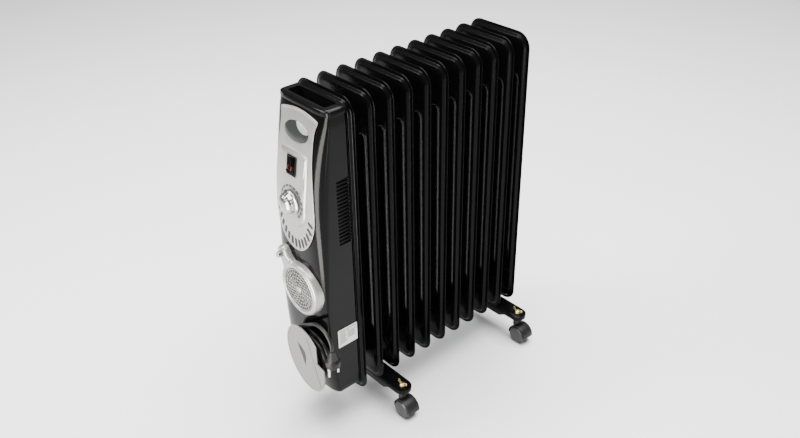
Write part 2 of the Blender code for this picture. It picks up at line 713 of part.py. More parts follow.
# Double rocker switch: it lies flat against the panel and leans back with it.
switch_slope = (set_back(SWITCH_Z + 0.01) - set_back(SWITCH_Z - 0.01)) / 0.02
switch_seat = (Matrix.Translation((0.0, face_y(0.0, SWITCH_Z, PANEL_PROUD + TONGUE_PROUD), SWITCH_Z))
               @ Matrix.Rotation(-math.atan(switch_slope), 4, "X"))


def seated(obj):
    """Moves an object made round the origin, looking to -Y, into the switch's place."""
    obj.matrix_world = switch_seat @ obj.matrix_world
    return obj


boolean(panel, seated(block("switch_hole", (-body_half - GAP, -0.02, -body_tall - GAP),
                            (body_half + GAP, 0.02, body_tall + GAP))))
tall_half = SWITCH_HEIGHT / 2
bezel = seated(block("switch_bezel", (-switch_half, -GAP - SWITCH_FLANGE, -tall_half),
                     (switch_half, -GAP, tall_half)))
boolean(bezel, seated(block("switch_case", (-body_half, -GAP - SWITCH_FLANGE / 2, -body_tall),
                            (body_half, SWITCH_BODY, body_tall))), "UNION")
rib = 0.0008
well_half = body_half - 0.0010
well_tall = body_tall - 0.0010
for side in (-1, 1):
    low_x, high_x = sorted((side * rib, side * well_half))
    boolean(bezel, seated(block(f"rocker_well_{side}", (low_x, -0.02, -well_tall),
                                (high_x, SWITCH_BODY - 0.002, well_tall))))
rocker_tall = well_tall - 0.0020
tilt = math.radians(ROCKER_TILT)
for side, name in ((-1, "left"), (1, "right")):
    low_x, high_x = sorted((side * (rib + ROCKER_CLEAR), side * (well_half - ROCKER_CLEAR)))
    outline = []
    for y, z in ((-0.0075, -rocker_tall), (-0.0048, 0.0), (-0.0075, rocker_tall),
                 (0.0, rocker_tall - 0.001), (0.0040, 0.0), (0.0, 0.001 - rocker_tall)):
        outline.append((ROCKER_PIVOT + y * math.cos(tilt) + z * math.sin(tilt),
                        z * math.cos(tilt) - y * math.sin(tilt)))
    rocker = prism(f"rocker_{name}", outline, "YZ", low_x, high_x, BLACK_GLOSS)
    set_origin(rocker, ((low_x + high_x) / 2, ROCKER_PIVOT, 0.0))
    bpy.context.view_layer.update()
    seated(rocker)

# Thermostat: body inside, shaft through the panel, knob on the shaft.
knob_back = face_y(0, KNOB_Z - KNOB_R, PANEL_PROUD + TONGUE_PROUD) - KNOB_CLEAR
knob_profile = [(0.0, KNOB_HEIGHT)]
knob_profile += [(KNOB_R * 0.80 * math.sin(math.radians(a)),
                  0.006 + (KNOB_HEIGHT - 0.006) * math.cos(math.radians(a))) for a in (20, 40, 60, 78)]
knob_profile += [(KNOB_R * 0.86, 0.0058), (KNOB_R * 0.97, 0.0040), (KNOB_R, 0.0020), (KNOB_R, 0.0),
                 (KNOB_R - 0.0022, 0.0), (KNOB_R - 0.0022, 0.0035), (SHAFT_R + GAP, 0.0035),
                 (SHAFT_R + GAP, 0.0100), (0.0, 0.0100)]
knob = turned("thermostat_knob", knob_profile, (0, knob_back, KNOB_Z), (0, -1, 0), CHROME, 28)
set_origin(knob, (0, knob_back, KNOB_Z))
shaft_front = knob_back - 0.0100 + GAP
stat_front = ahead(BOX_DEPTH) + BOX_WALL + 0.004
shaft = rod("thermostat_shaft", (0, shaft_front, KNOB_Z), (0, stat_front - GAP, KNOB_Z), SHAFT_R,
            STEEL, sides=16)
set_origin(shaft, (0, knob_back, KNOB_Z))
stat_half = THERMOSTAT_SIZE / 2
block("thermostat_body", (-stat_half, stat_front, KNOB_Z - stat_half),
             (stat_half, stat_front + THERMOSTAT_DEPTH, KNOB_Z + stat_half), STEEL, 0.002)

# ---------------------------------------------------------------- fan heater on the box's face
fan_front = ahead(FAN_FRONT)
axis = Vector((FAN_EAR_X - FAN_X, FAN_EAR_Z - FAN_Z))
reach = math.degrees(math.atan2(axis.y, axis.x))
spread = math.degrees(math.acos((FAN_R - FAN_EAR_R) / axis.length))
fan_outline = arc(FAN_X, FAN_Z, FAN_R, reach + spread, reach - spread + 360, 36)
fan_outline += arc(FAN_EAR_X, FAN_EAR_Z, FAN_EAR_R, reach - spread, reach + spread, 12)
fan = prism("fan_housing", fan_outline, "XZ", fan_front, ahead(FAN_SEAT), SILVER)
boolean(fan, solid_box("face_cutter_fan", GAP, BOX_BOTTOM_Z, BOX_SEAM_Z, BOX_BACK_Y + 0.01))
boolean(fan, rod("fan_bore", (FAN_X, fan_front - 0.01, FAN_Z), (FAN_X, ahead(0.04), FAN_Z),
                 FAN_BORE_R, sides=36))
boolean(fan, rod("button_bore", (FAN_EAR_X, fan_front - 0.01, FAN_EAR_Z),
                 (FAN_EAR_X, ahead(BUTTON_FLOOR), FAN_EAR_Z), BUTTON_R + BUTTON_CLEAR, sides=20))
button_y = fan_front - BUTTON_PROUD
button = rod("fan_button", (FAN_EAR_X, button_y, FAN_EAR_Z),
             (FAN_EAR_X, ahead(BUTTON_FLOOR) - BUTTON_TRAVEL - GAP, FAN_EAR_Z), BUTTON_R, SILVER, sides=20)
set_origin(button, (FAN_EAR_X, button_y, FAN_EAR_Z))

slots = []
for ring, radius in enumerate(GRILLE_RINGS):
    count = 6 * (ring + 1)
    wide = 2 * math.pi * radius / count * 0.55
    for number in range(count):
        u = heading(360 * (number + ring / 2) / count)
        centre = Vector((FAN_X, FAN_Z)) + u * radius
        sweep = (u + Vector((-u.y, u.x)) * 0.6).normalized()
        cross = Vector((-sweep.y, sweep.x))
        slots.append([tuple(centre + sweep * wide / 2 * a + cross * GRILLE_SLOT / 2 * b)
                      for a, b in ((1, 1), (-1, 1), (-1, -1), (1, -1))])
prism("fan_grille", circle(FAN_X, FAN_Z, FAN_BORE_R - GAP, 36), "XZ", fan_front,
      fan_front + GRILLE_THICK, SILVER, holes=slots)

ptc_half = PTC_SIZE / 2
ptc = block("ptc_heater", (FAN_X - ptc_half, ahead(PTC_FRONT), FAN_Z - ptc_half),
            (FAN_X + ptc_half, ahead(PTC_FRONT) + PTC_THICK, FAN_Z + ptc_half), STEEL)
for number in range(5):
    x = FAN_X - ptc_half + 0.004 + number * (PTC_SIZE - 0.008 + 0.003) / 5
    boolean(ptc, block(f"ptc_slot_{number}", (x, ahead(PTC_FRONT + 0.01), FAN_Z - ptc_half + 0.004),
                       (x + 0.0055, ahead(PTC_FRONT - 0.01), FAN_Z + ptc_half - 0.004)))

impeller_back = ahead(IMPELLER_FRONT) + IMPELLER_DEPTH
impeller = rod("impeller", (FAN_X, ahead(IMPELLER_FRONT), FAN_Z), (FAN_X, impeller_back, FAN_Z),
               IMPELLER_HUB_R, BLACK_MATT, sides=20)
for number in range(IMPELLER_BLADES):
    blade = block(f"blade_{number}", (IMPELLER_HUB_R - 0.002, -0.0006, -0.0055),
                  (IMPELLER_R, 0.0006, 0.0055))
    pitch = Matrix.Rotation(math.radians(58), 4, "X")
    stand = Matrix.Rotation(math.radians(90), 4, "X")
    spin = Matrix.Rotation(2 * math.pi * number / IMPELLER_BLADES, 4, "Y")
    place = Matrix.Translation((FAN_X, ahead(IMPELLER_FRONT) + IMPELLER_DEPTH / 2, FAN_Z))
    blade.data.transform(place @ spin @ stand @ pitch)
    boolean(impeller, blade, "UNION")
set_origin(impeller, (FAN_X, ahead(IMPELLER_FRONT) + IMPELLER_DEPTH / 2, FAN_Z))
motor_front = impeller_back + 0.0010
turned("fan_motor",
               [(0, PLATE_Y - BACK_PLATE - GAP - motor_front), (0.006, PLATE_Y - BACK_PLATE - GAP - motor_front),
                (0.006, 0.026), (MOTOR_R, 0.024), (MOTOR_R, 0.002), (0.008, 0.0), (0, 0.0)],
               (FAN_X, motor_front, FAN_Z), (0, 1, 0), STEEL, 24)

# ---------------------------------------------------------------- cord reel
base_front = ahead(REEL_BASE_FRONT)
reel_base = prism("reel_base", circle(REEL_X, REEL_Z, REEL_BASE_R, 36), "XZ", base_front,
                  ahead(REEL_SEAT), BLACK_MATT)
boolean(reel_base, solid_box("face_cutter_reel", GAP, BOX_BOTTOM_Z - 0.02, BOX_SEAM_Z,
                             BOX_BACK_Y + 0.01))
plate_turn = math.radians(REEL_PLATE_TURN)
plate_outline = arc(0, 0, REEL_PLATE_R, math.degrees(math.asin(REEL_NOTCH_Z / REEL_PLATE_R)),
                    math.degrees(math.acos(REEL_NOTCH_X / REEL_PLATE_R)) - 360, 44)
plate_outline.append((REEL_NOTCH_X, REEL_NOTCH_Z))
finger = arc(-0.012, -0.004, 0.0095, 200, 20, 8) + arc(-0.012, -0.004, 0.0150, 20, 200, 8)
plate = prism("reel_plate", plate_outline, "XZ", -REEL_PLATE_THICK / 2, REEL_PLATE_THICK / 2,
              SILVER, holes=[finger])
lean = Matrix.Rotation(-plate_turn, 4, "Z")
plate.data.transform(Matrix.Translation((REEL_X, ahead(REEL_PLATE_AT), REEL_Z)) @ lean)
hub = rod("reel_hub", (REEL_X, base_front - GAP, REEL_Z), (REEL_X, ahead(REEL_PLATE_AT + 0.01), REEL_Z),
          REEL_HUB_R, BLACK_MATT, sides=32)
front_cut = block("hub_front_cut", (-0.06, -0.04, -0.06), (0.06, REEL_PLATE_THICK / 2 + GAP, 0.06))
front_cut.data.transform(Matrix.Translation((REEL_X, ahead(REEL_PLATE_AT), REEL_Z)) @ lean)
boolean(hub, front_cut)

# The cord: two flat spirals side by side, a short lead from the gland and a tail to the plug.
ring_out = COIL_OUTER_R + CORD_D / 2
half_rows = CORD_ROWS * CORD_D / 2
coil = turned("cord_coil",
              [(REEL_HUB_R + GAP, half_rows), (ring_out, half_rows), (ring_out, -half_rows),
               (REEL_HUB_R + GAP, -half_rows), (REEL_HUB_R + GAP, half_rows)],
              (REEL_X, COIL_Y, REEL_Z), (0, -1, 0), RUBBER, 40)


def on_reel(angle, radius):
    turn = math.radians(angle)
    return Vector((REEL_X + radius * math.cos(turn), REEL_Z + radius * math.sin(turn)))


def bend(start, direction, radius, sweep, steps):
    """Points along an arc in the reel's plane. A positive sweep turns clockwise, in degrees."""
    side = heading(direction - 90) * (1 if sweep > 0 else -1)
    centre = start + side * radius
    first = direction + 90 if sweep > 0 else direction - 90
    return [centre + heading(first - sweep * k / steps) * radius for k in range(1, steps + 1)]


clear_r = COIL_OUTER_R + CORD_D + GAP
tail_y = COIL_Y - CORD_D / 2
tail_start = on_reel(TAIL_LEAVE, clear_r)
direction = TAIL_LEAVE - 90
tail = [tail_start + heading(direction) * TAIL_RISE * k / 3 for k in range(4)]
tail += bend(tail[-1], direction, TAIL_BEND_R, direction + 90, 12)
tail.append(tail[-1] - Vector((0, CORD_D / 2)))
plug_top = tail[-1]
tube("cord_tail", [(p.x, tail_y, p.y) for p in tail], CORD_D / 2, RUBBER)

plug_y = tail_y
plug_start = plug_top.y - GAP
plug_x = plug_top.x
plug = rod("plug", (plug_x, plug_y, plug_start), (plug_x, plug_y, plug_start - PLUG_LENGTH * 0.55),
           CORD_D * 0.75, BLACK_MATT, 24, PLUG_R * 0.96)
face = rod("plug_face", (plug_x, plug_y, plug_start - PLUG_LENGTH * 0.5),
           (plug_x, plug_y, plug_start - PLUG_LENGTH), PLUG_R, sides=24)
boolean(plug, face, "UNION")
for side in (-1, 1):
    y = plug_y + side * PIN_SPACING / 2
    pin = rod(f"plug_pin_{side}", (plug_x, y, plug_start - PLUG_LENGTH + 0.004),
              (plug_x, y, plug_start - PLUG_LENGTH - PIN_LENGTH), PIN_R, sides=12)
    boolean(plug, pin, "UNION")

lead_y = COIL_Y + CORD_D / 2
lead_end = on_reel(LEAD_LEAVE, clear_r)
lead_way = LEAD_LEAVE - 90
lead = [lead_end - heading(lead_way) * LEAD_RUN * (1 - k / 3) for k in range(4)]
tube("cord_lead", [(p.x, lead_y, p.y) for p in lead], CORD_D / 2, RUBBER)
gland_end = lead[0] - heading(lead_way) * GAP
gland_start = gland_end - heading(lead_way) * GLAND_LENGTH
gland = rod("cord_gland", (gland_start.x, lead_y, gland_start.y), (gland_end.x, lead_y, gland_end.y),
            GLAND_R, RUBBER, 20, CORD_D * 0.62)
boss = rod("gland_boss", (gland_start.x, lead_y - GLAND_BOSS_R, gland_start.y),
           (gland_start.x, ahead(0.04), gland_start.y), GLAND_BOSS_R, sides=20)
boolean(boss, solid_box("face_cutter_gland", GAP, BOX_BOTTOM_Z - 0.02, BOX_SEAM_Z,
                        BOX_BACK_Y + 0.01))
boolean(gland, baked(boss), "UNION")

# ---------------------------------------------------------------- label
label_y = ahead(LABEL_AT)
label = prism("rating_label",
              rounded_rectangle(label_y - LABEL_WIDTH / 2, LABEL_Z - LABEL_HEIGHT / 2,
                                label_y + LABEL_WIDTH / 2, LABEL_Z + LABEL_HEIGHT / 2, 0.001, 2),
              "YZ", half + GAP, half + GAP + LABEL_THICK, WHITE_FILM)


# ---------------------------------------------------------------- feet
def foot(name, fin_before):
    """A pressed channel under the fins, the rod that clamps it to the header, and its castors."""
    y = FIN_1_Y + (fin_before + 0.5) * FIN_PITCH
    half_w = BRACKET_WIDTH / 2
    top = (
        arc(BRACKET_REACH, y, half_w, -90, 90, 12)
        + arc(-BRACKET_REACH, y, half_w, 90, 270, 12)
    )
    bracket = prism(f"foot_bracket_{name}", top, "XY", BRACKET_TOP_Z - BRACKET_BELLY,
                    BRACKET_TOP_Z, BLACK_ENAMEL)
    t = BRACKET_SHEET
    inside = (
        arc(BRACKET_REACH, y, half_w - t, -90, 90, 12)
        + arc(-BRACKET_REACH, y, half_w - t, 90, 270, 12)
    )
    boolean(bracket, prism(f"channel_{name}", inside, "XY", BRACKET_TOP_Z - BRACKET_BELLY - 0.01,
                           BRACKET_TOP_Z - t))
    for side in (-1, 1):
        low_z = BRACKET_TOP_Z - BRACKET_BELLY - 0.01
        high_z = BRACKET_TOP_Z - BRACKET_FLANGE
        wedge = [(side * 0.052, low_z), (side * 0.16, low_z), (side * 0.16, high_z),
                 (side * 0.082, high_z)]
        boolean(bracket, prism(f"flange_cut_{name}_{side}", wedge, "XZ", y - 0.05, y + 0.05))
        boolean(bracket, rod(f"stem_hole_{name}_{side}", (side * BRACKET_REACH, y, 0.04),
                             (side * BRACKET_REACH, y, 0.09), STEM_R + STEM_CLEAR, sides=20))
    clamp_x = HEADER_R + HEADER_CLEAR + CLAMP_ROD_R
    for side in (-1, 1):
        boolean(bracket, rod(f"clamp_hole_{name}_{side}", (side * clamp_x, y, 0.04),
                             (side * clamp_x, y, 0.09), CLAMP_ROD_R + STEM_CLEAR, sides=16))
    loop = [(-clamp_x, BRACKET_TOP_Z - CLAMP_TAIL)]
    loop += arc(0, HEADERS_Z[0], clamp_x, 180, 0, 14)
    loop += [(clamp_x, BRACKET_TOP_Z - CLAMP_TAIL)]
    tube(f"foot_clamp_{name}", [(x, y, z) for x, z in loop], CLAMP_ROD_R, STEEL, 2)
    for side, hand in ((-1, "left"), (1, "right")):
        castor(f"{name}_{hand}", side * BRACKET_REACH, y, side)


def castor(name, x, y, side):
    """A twin-wheel castor: hood with its stem, two wheels on one axle, and the wing nut on top."""
    axle_x = x + side * CASTOR_TRAIL
    inner = WHEEL_R + WHEEL_CLEAR * 2
    outer = inner + HOOD_WALL
    half_web = WHEEL_WEB / 2 - WHEEL_CLEAR
    half_hood = WHEEL_WEB / 2 + WHEEL_WIDTH * 0.80
    hood_top = arc(axle_x, AXLE_Z, outer, -8, 188, 14)
    hood = prism(f"castor_fork_{name}", hood_top, "XZ", y - half_hood, y + half_hood, BLACK_GLOSS)
    for way in (-1, 1):
        near, far = sorted((y + way * half_web, y + way * (half_hood + 0.01)))
        boolean(hood, rod(f"wheel_well_{name}_{way}", (axle_x, near, AXLE_Z), (axle_x, far, AXLE_Z),
                          inner, sides=24))
    boolean(hood, rod(f"axle_hole_{name}", (axle_x, y - 0.02, AXLE_Z), (axle_x, y + 0.02, AXLE_Z),
                      AXLE_R + WHEEL_CLEAR / 2, sides=12))
    under = BRACKET_TOP_Z - BRACKET_SHEET - GAP
    seat = rod(f"stem_seat_{name}", (x, y, AXLE_Z + WHEEL_R * 0.93), (x, y, under), STEM_SEAT_R,
               sides=20)
    boolean(seat, rod(f"seat_clear_{name}", (axle_x, y - 0.03, AXLE_Z), (axle_x, y + 0.03, AXLE_Z),
                      inner, sides=24))
    boolean(hood, baked(seat), "UNION")
    boolean(hood, rod(f"stem_{name}", (x, y, under - 0.002),
                      (x, y, BRACKET_TOP_Z + GAP + NUT_HEIGHT - 0.001), STEM_R, sides=14), "UNION")
    hood = baked(hood)
    set_origin(hood, (x, y, under))
    r, e, w = WHEEL_R, WHEEL_EDGE_R, WHEEL_WIDTH
    start = WHEEL_WEB / 2
    edge = arc(r - e, start + w - e, e, 90, 0, 2)
    disc = [(0.0, start + w)] + edge + [(r, start), (AXLE_R, start)]
    profile = disc + [(p, -q) for p, q in reversed(disc)]
    wheel = turned(f"castor_wheel_{name}", profile, (axle_x, y, AXLE_Z), (0, 1, 0), BLACK_MATT, 24)
    set_origin(wheel, (axle_x, y, AXLE_Z))
    nut_z = BRACKET_TOP_Z + GAP
    nut = turned(f"wing_nut_{name}",
                 [(0, NUT_HEIGHT + 0.001), (NUT_R * 0.7, NUT_HEIGHT), (NUT_R, 0.0), (STEM_R + GAP, 0.0),
                  (STEM_R + GAP, NUT_HEIGHT - 0.0004), (0, NUT_HEIGHT - 0.0004)],
                 (x, y, nut_z), (0, 0, 1), BRASS, 20)
    for way in (-1, 1):
        wing = [(way * NUT_R * 0.78, nut_z + 0.0010), (way * WING_SPAN, nut_z + 0.0045),
                (way * WING_SPAN, nut_z + 0.0100), (way * WING_SPAN * 0.75, nut_z + 0.0105),
                (way * NUT_R * 0.74, nut_z + NUT_HEIGHT - 0.0012)]
        boolean(nut, prism(f"wing_{name}_{way}", [(x + u, z) for u, z in wing], "XZ",
                           y - WING_THICK / 2, y + WING_THICK / 2), "UNION")


for label_name, fin_before in zip(("front", "rear"), BRACKET_FINS):
    foot(label_name, fin_before)
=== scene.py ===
"""Looks of the oil filled radiator heater: pressed enamelled fins, a glossy control box with its
silver panel, a fan heater, a wound mains lead and twin-wheel castors, each with its own finish."""

import json
import math

import bmesh
import bpy
import numpy as np
from mathutils import Matrix, Vector
from mathutils.geometry import delaunay_2d_cdt

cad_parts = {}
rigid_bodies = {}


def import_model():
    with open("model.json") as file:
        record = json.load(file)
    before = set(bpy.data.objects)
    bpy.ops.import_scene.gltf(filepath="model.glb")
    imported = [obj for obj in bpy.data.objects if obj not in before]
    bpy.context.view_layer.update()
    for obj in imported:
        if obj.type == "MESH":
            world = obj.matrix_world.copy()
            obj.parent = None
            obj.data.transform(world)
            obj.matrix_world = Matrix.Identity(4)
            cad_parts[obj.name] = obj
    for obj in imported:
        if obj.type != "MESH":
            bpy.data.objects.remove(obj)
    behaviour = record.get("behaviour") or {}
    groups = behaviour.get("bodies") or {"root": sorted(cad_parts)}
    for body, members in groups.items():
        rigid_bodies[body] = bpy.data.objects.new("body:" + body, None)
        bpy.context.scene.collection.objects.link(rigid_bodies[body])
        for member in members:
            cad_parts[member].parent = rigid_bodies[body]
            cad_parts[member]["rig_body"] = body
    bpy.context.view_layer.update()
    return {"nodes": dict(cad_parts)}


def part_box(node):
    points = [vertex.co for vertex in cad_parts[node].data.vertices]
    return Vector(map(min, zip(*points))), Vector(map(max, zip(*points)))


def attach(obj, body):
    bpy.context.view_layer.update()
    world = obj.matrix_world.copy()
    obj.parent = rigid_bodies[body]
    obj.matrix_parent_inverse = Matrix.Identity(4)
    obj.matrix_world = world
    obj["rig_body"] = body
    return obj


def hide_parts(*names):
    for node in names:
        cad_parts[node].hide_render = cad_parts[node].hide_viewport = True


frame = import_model()

# ---------------------------------------------------------------- sizes, in metres
GAP = 0.0003

FIN_COUNT = 11
FIN_PITCH = 0.0396
FIN_HALF = 0.0725
FIN_LOW, FIN_HIGH = 0.0635, 0.6435
FIN_CORNER = 0.028
SHEET = 0.0018                  # two sheets welded along the seam
BODY_DEPTH = 0.0110             # over the oil channels
HEADER_R = 0.0240
HEADERS_Z = (0.1155, 0.5915)
FIN_1_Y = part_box("fin_01")[0].y + 0.0065

BOX_HALF = 0.063
BOX_LOW, BOX_SEAM = 0.0825, 0.6230
BOX_DEPTH = 0.0745
BOX_WALL = 0.0025
BOX_EDGE = 0.0120
SIDE_PEAK_Z, SIDE_PEAK = 0.2585, 0.0650
SIDE_TOP_DROP, SIDE_BOTTOM_DROP, SIDE_CURVE = 0.0270, 0.0150, 1.2
LEAN_Z, LEAN_TOP = 0.4335, 0.0290
TUCK_Z, TUCK_BOTTOM = 0.2235, 0.0135
BOX_BACK = 0.0086               # the box's rear edge, before fin 1's middle

LOUVRE_COUNT, LOUVRE_PITCH, LOUVRE_SLOT = 18, 0.0067, 0.0028
LOUVRE_LOW_Z = 0.3950
LOUVRE_FRONT, LOUVRE_BACK = 0.0345, 0.0105

PANEL_PROUD = 0.0030
PANEL_TOP, PANEL_SHOULDER_Z, PANEL_WAIST_Z = 0.6215, 0.6115, 0.5915
PANEL_BELLY_Z, PANEL_BOTTOM = 0.4515, 0.3785
PANEL_SHOULDER, PANEL_WAIST, PANEL_BELLY = 0.0465, 0.0420, 0.0500
TONGUE_PROUD, TONGUE_HALF, TONGUE_RISE = 0.0016, 0.0340, 0.0016
BOWL = 0.0012                   # the panel is dished this deep round its tongue
TONGUE_TOP, TONGUE_LOW = 0.5555, 0.4225
BADGE_Z, BADGE_HALF_W, BADGE_HALF_H = 0.5865, 0.0300, 0.0155
VENT_COUNT, VENT_WIDTH, VENT_LENGTH, VENT_MARGIN = 13, 0.0062, 0.0175, 0.0038
VENT_AIM = 0.4800               # the vents point at this height on the middle line
SWITCH_Z, SWITCH_WIDTH, SWITCH_HEIGHT = 0.5325, 0.0230, 0.0330
KNOB_Z, KNOB_R = 0.4695, 0.0215
DIAL_R = 0.0285

FAN_X, FAN_Z, FAN_R, FAN_FRONT = 0.0085, 0.3040, 0.0490, 0.0865
FAN_EAR_X, FAN_EAR_Z, FAN_EAR_R = -0.0330, 0.3575, 0.0150
FAN_BORE = 0.0385

REEL_X, REEL_Z = 0.0280, 0.1735
REEL_PLATE_R, REEL_PLATE_THICK, REEL_PLATE_AT, REEL_TURN = 0.0625, 0.0026, 0.0970, 6.0
REEL_NOTCH_X, REEL_NOTCH_Z = 0.0400, 0.0130
SLOT_ENDS = Vector((-0.0040, -0.0190)), Vector((-0.0290, 0.0200))
SLOT_PULLS = (0.0171, 0.0221), (-0.0131, 0.0027)    # what bends the crescent's two sides
GRILLE_RADII = (0.0045, 0.0110, 0.0178, 0.0246, 0.0314, 0.0376)

CORD_D = 0.0070
CORD_TURNS, CORD_ROWS, CORD_INNER = 2.5, 2, 0.0317
CORD_OUTER = CORD_INNER + CORD_TURNS * CORD_D
COIL_Y = FIN_1_Y - 0.0748 - GAP - CORD_ROWS * CORD_D / 2 - GAP
TAIL_LEAVE, TAIL_RISE, TAIL_BEND = 123.0, 0.0562, 0.0310
LEAD_LEAVE, LEAD_RUN = 228.0, 0.0170
PLUG_R, PLUG_LENGTH = 0.0130, 0.0310
PIN_SPACING, PIN_LENGTH, PIN_R = 0.0190, 0.0190, 0.0024


def ahead(distance):
    """The Y of something this far before fin 1's middle."""
    return FIN_1_Y - distance


# ---------------------------------------------------------------- camera, lights, floor
def camera():
    """The viewing angle: right of the control panel, above the heater, a very slight roll."""
    yaw, pitch, roll = (math.radians(a) for a in (138.714, -32.019, -1.043))
    forward = Vector((math.cos(pitch) * math.cos(yaw), math.cos(pitch) * math.sin(yaw),
                      math.sin(pitch)))
    level = forward.cross(Vector((0, 0, 1))).normalized()
    rise = level.cross(forward)
    right = level * math.cos(roll) + rise * math.sin(roll)
    up = rise * math.cos(roll) - level * math.sin(roll)
    data = bpy.data.cameras.new("view")
    data.sensor_width = 36.0
    data.lens = 39.62
    made = bpy.data.objects.new("view", data)
    bpy.context.scene.collection.objects.link(made)
    made.matrix_world = Matrix((
        (right.x, up.x, -forward.x, 1.0167),
        (right.y, up.y, -forward.y, FIN_1_Y - 0.7420),
        (right.z, up.z, -forward.z, 1.1848),
        (0, 0, 0, 1)))
    bpy.context.scene.camera = made


def softbox(name, place, aim, size, watts, colour=(1, 1, 1)):
    """A rectangular light turned towards a point."""
    data = bpy.data.lights.new(name, "AREA")
    data.shape = "RECTANGLE"
    data.size, data.size_y = size
    data.energy = watts
    data.color = colour
    made = bpy.data.objects.new(name, data)
    bpy.context.scene.collection.objects.link(made)
    made.location = place
    made.rotation_euler = (Vector(aim) - Vector(place)).to_track_quat("-Z", "Y").to_euler()


def lights():
    softbox("key", (-1.1, -1.7, 1.7), (0, -0.2, 0.35), (0.8, 1.1), 50)
    softbox("top", (0.0, 0.2, 2.6), (0, 0, 0.3), (2.6, 2.6), 300)
    # Upright strips that only reflections see: they draw the bands down the box's corner.
    for name, place_at, size, watts in (("corner band", (0.10, -0.72, 0.30), (0.26, 0.66), 16),
                                        ("fin edges", (1.10, -0.55, 0.60), (0.05, 1.0), 6)):
        softbox(name, place_at, (0.05, -0.2, place_at[2]), size, watts, (1.0, 0.96, 0.90))
        bpy.data.objects[name].visible_diffuse = False
        bpy.data.objects[name].visible_camera = False
    world = bpy.data.worlds.new("studio")
    world.use_nodes = True
    world.node_tree.nodes["Background"].inputs["Color"].default_value = (0.93, 0.94, 0.95, 1)
    world.node_tree.nodes["Background"].inputs["Strength"].default_value = 0.35
    bpy.context.scene.world = world


# ---------------------------------------------------------------- materials
def linear(code):
    """An sRGB hex colour as linear RGBA."""
    parts = [int(code[i:i + 2], 16) / 255 for i in (1, 3, 5)]
    return (*[c / 12.92 if c <= 0.04045 else ((c + 0.055) / 1.055) ** 2.4 for c in parts], 1.0)


def put(tree, kind, inputs=None, **settings):
    """Adds a node with its settings. Each input is a value, or a socket to link from."""
    made = tree.nodes.new(kind)
    for name, value in settings.items():
        setattr(made, name, value)
    for socket, value in (inputs or {}).items():
        if isinstance(value, bpy.types.NodeSocket):
            tree.links.new(value, made.inputs[socket])
        else:
            made.inputs[socket].default_value = value
    return made


def finish_of(name, light, dark, roughness, metallic=0.0, patch_mm=25.0, grain_mm=0.8,
              bump=0.05, rough_play=0.05, **sockets):
    """A surface whose colour drifts between two shades over patch_mm, with a grain of grain_mm."""
    made = bpy.data.materials.new(name)
    made.use_nodes = True
    tree = made.node_tree
    shader = tree.nodes["Principled BSDF"]
    place = put(tree, "ShaderNodeTexCoord").outputs["Object"]
    patch = put(tree, "ShaderNodeTexNoise", {"Vector": place, "Scale": 1000.0 / patch_mm,
                                             "Detail": 3.0}).outputs["Fac"]
    grain = put(tree, "ShaderNodeTexNoise", {"Vector": place, "Scale": 1000.0 / grain_mm,
                                             "Detail": 2.0}).outputs["Fac"]
    colour = put(tree, "ShaderNodeMix", {0: patch, 6: linear(dark), 7: linear(light)},
                 data_type="RGBA")
    tree.links.new(colour.outputs[2], shader.inputs["Base Color"])
    rough = put(tree, "ShaderNodeMapRange", {0: patch, 3: roughness - rough_play,
                                             4: roughness + rough_play})
    tree.links.new(rough.outputs[0], shader.inputs["Roughness"])
    relief = put(tree, "ShaderNodeBump", {"Height": grain, "Strength": bump,
                                          "Distance": grain_mm / 1000.0})
    tree.links.new(relief.outputs[0], shader.inputs["Normal"])
    shader.inputs["Metallic"].default_value = metallic
    for socket, value in sockets.items():
        shader.inputs[socket.replace("_", " ")].default_value = value
    return made


# Stove enamel on pressed steel: deep black, wet gloss, a faint orange peel 3 mm across.
ENAMEL = finish_of("stove enamelled steel", "#0b0b0c", "#060606", 0.18, patch_mm=60, grain_mm=3.0,
                   bump=0.05, rough_play=0.03, Specular_IOR_Level=0.07)
# Moulded ABS, polished tool: black and glossy, slightly softer than the enamel.
GLOSS_ABS = finish_of("moulded gloss ABS", "#0d0d0d", "#070707", 0.14, patch_mm=40, grain_mm=2.5,
                      bump=0.03, rough_play=0.03, Specular_IOR_Level=0.09)
# Moulded polypropylene with a spark-eroded grain of about 0.6 mm.
MATT_PP = finish_of("moulded matt polypropylene", "#161617", "#0f0f10", 0.48, grain_mm=0.6,
                    bump=0.22, rough_play=0.06, Specular_IOR_Level=0.25)
# Pearl lacquer over ABS: warm silver, metal flake about 0.5 mm, clear coat on top.
PEARL = finish_of("pearl lacquered ABS", "#a9a8a3", "#969590", 0.30, metallic=0.45, patch_mm=18,
                  grain_mm=0.5, bump=0.03, rough_play=0.04, Coat_Weight=0.30, Coat_Roughness=0.12)
# The same lacquer on the flat reel plate, a shade greyer and more satin.
PEARL_GREY = finish_of("satin lacquered ABS", "#7f7d78", "#71706b", 0.36, metallic=0.40,
                       patch_mm=22, grain_mm=0.6, bump=0.05, rough_play=0.05)
# Chrome plated ABS: bright metal, softened by a polishing haze.
CHROME = finish_of("chrome plated ABS", "#a5a5a4", "#8b8b8a", 0.22, metallic=1.0, patch_mm=9,
                   grain_mm=1.5, bump=0.02, rough_play=0.04)
# Zinc plated steel: pale, slightly mottled by the plating bath.
ZINC = finish_of("zinc plated steel", "#c4c2bb", "#9c9a93", 0.34, metallic=1.0, patch_mm=5,
                 grain_mm=0.5, bump=0.08, rough_play=0.08)
# Yellow passivated zinc on nuts and fittings: straw gold with darker spots.
YELLOW_ZINC = finish_of("yellow passivated zinc", "#e2cf96", "#a88a4c", 0.28, metallic=1.0,
                        patch_mm=3, grain_mm=0.5, bump=0.06, rough_play=0.08)
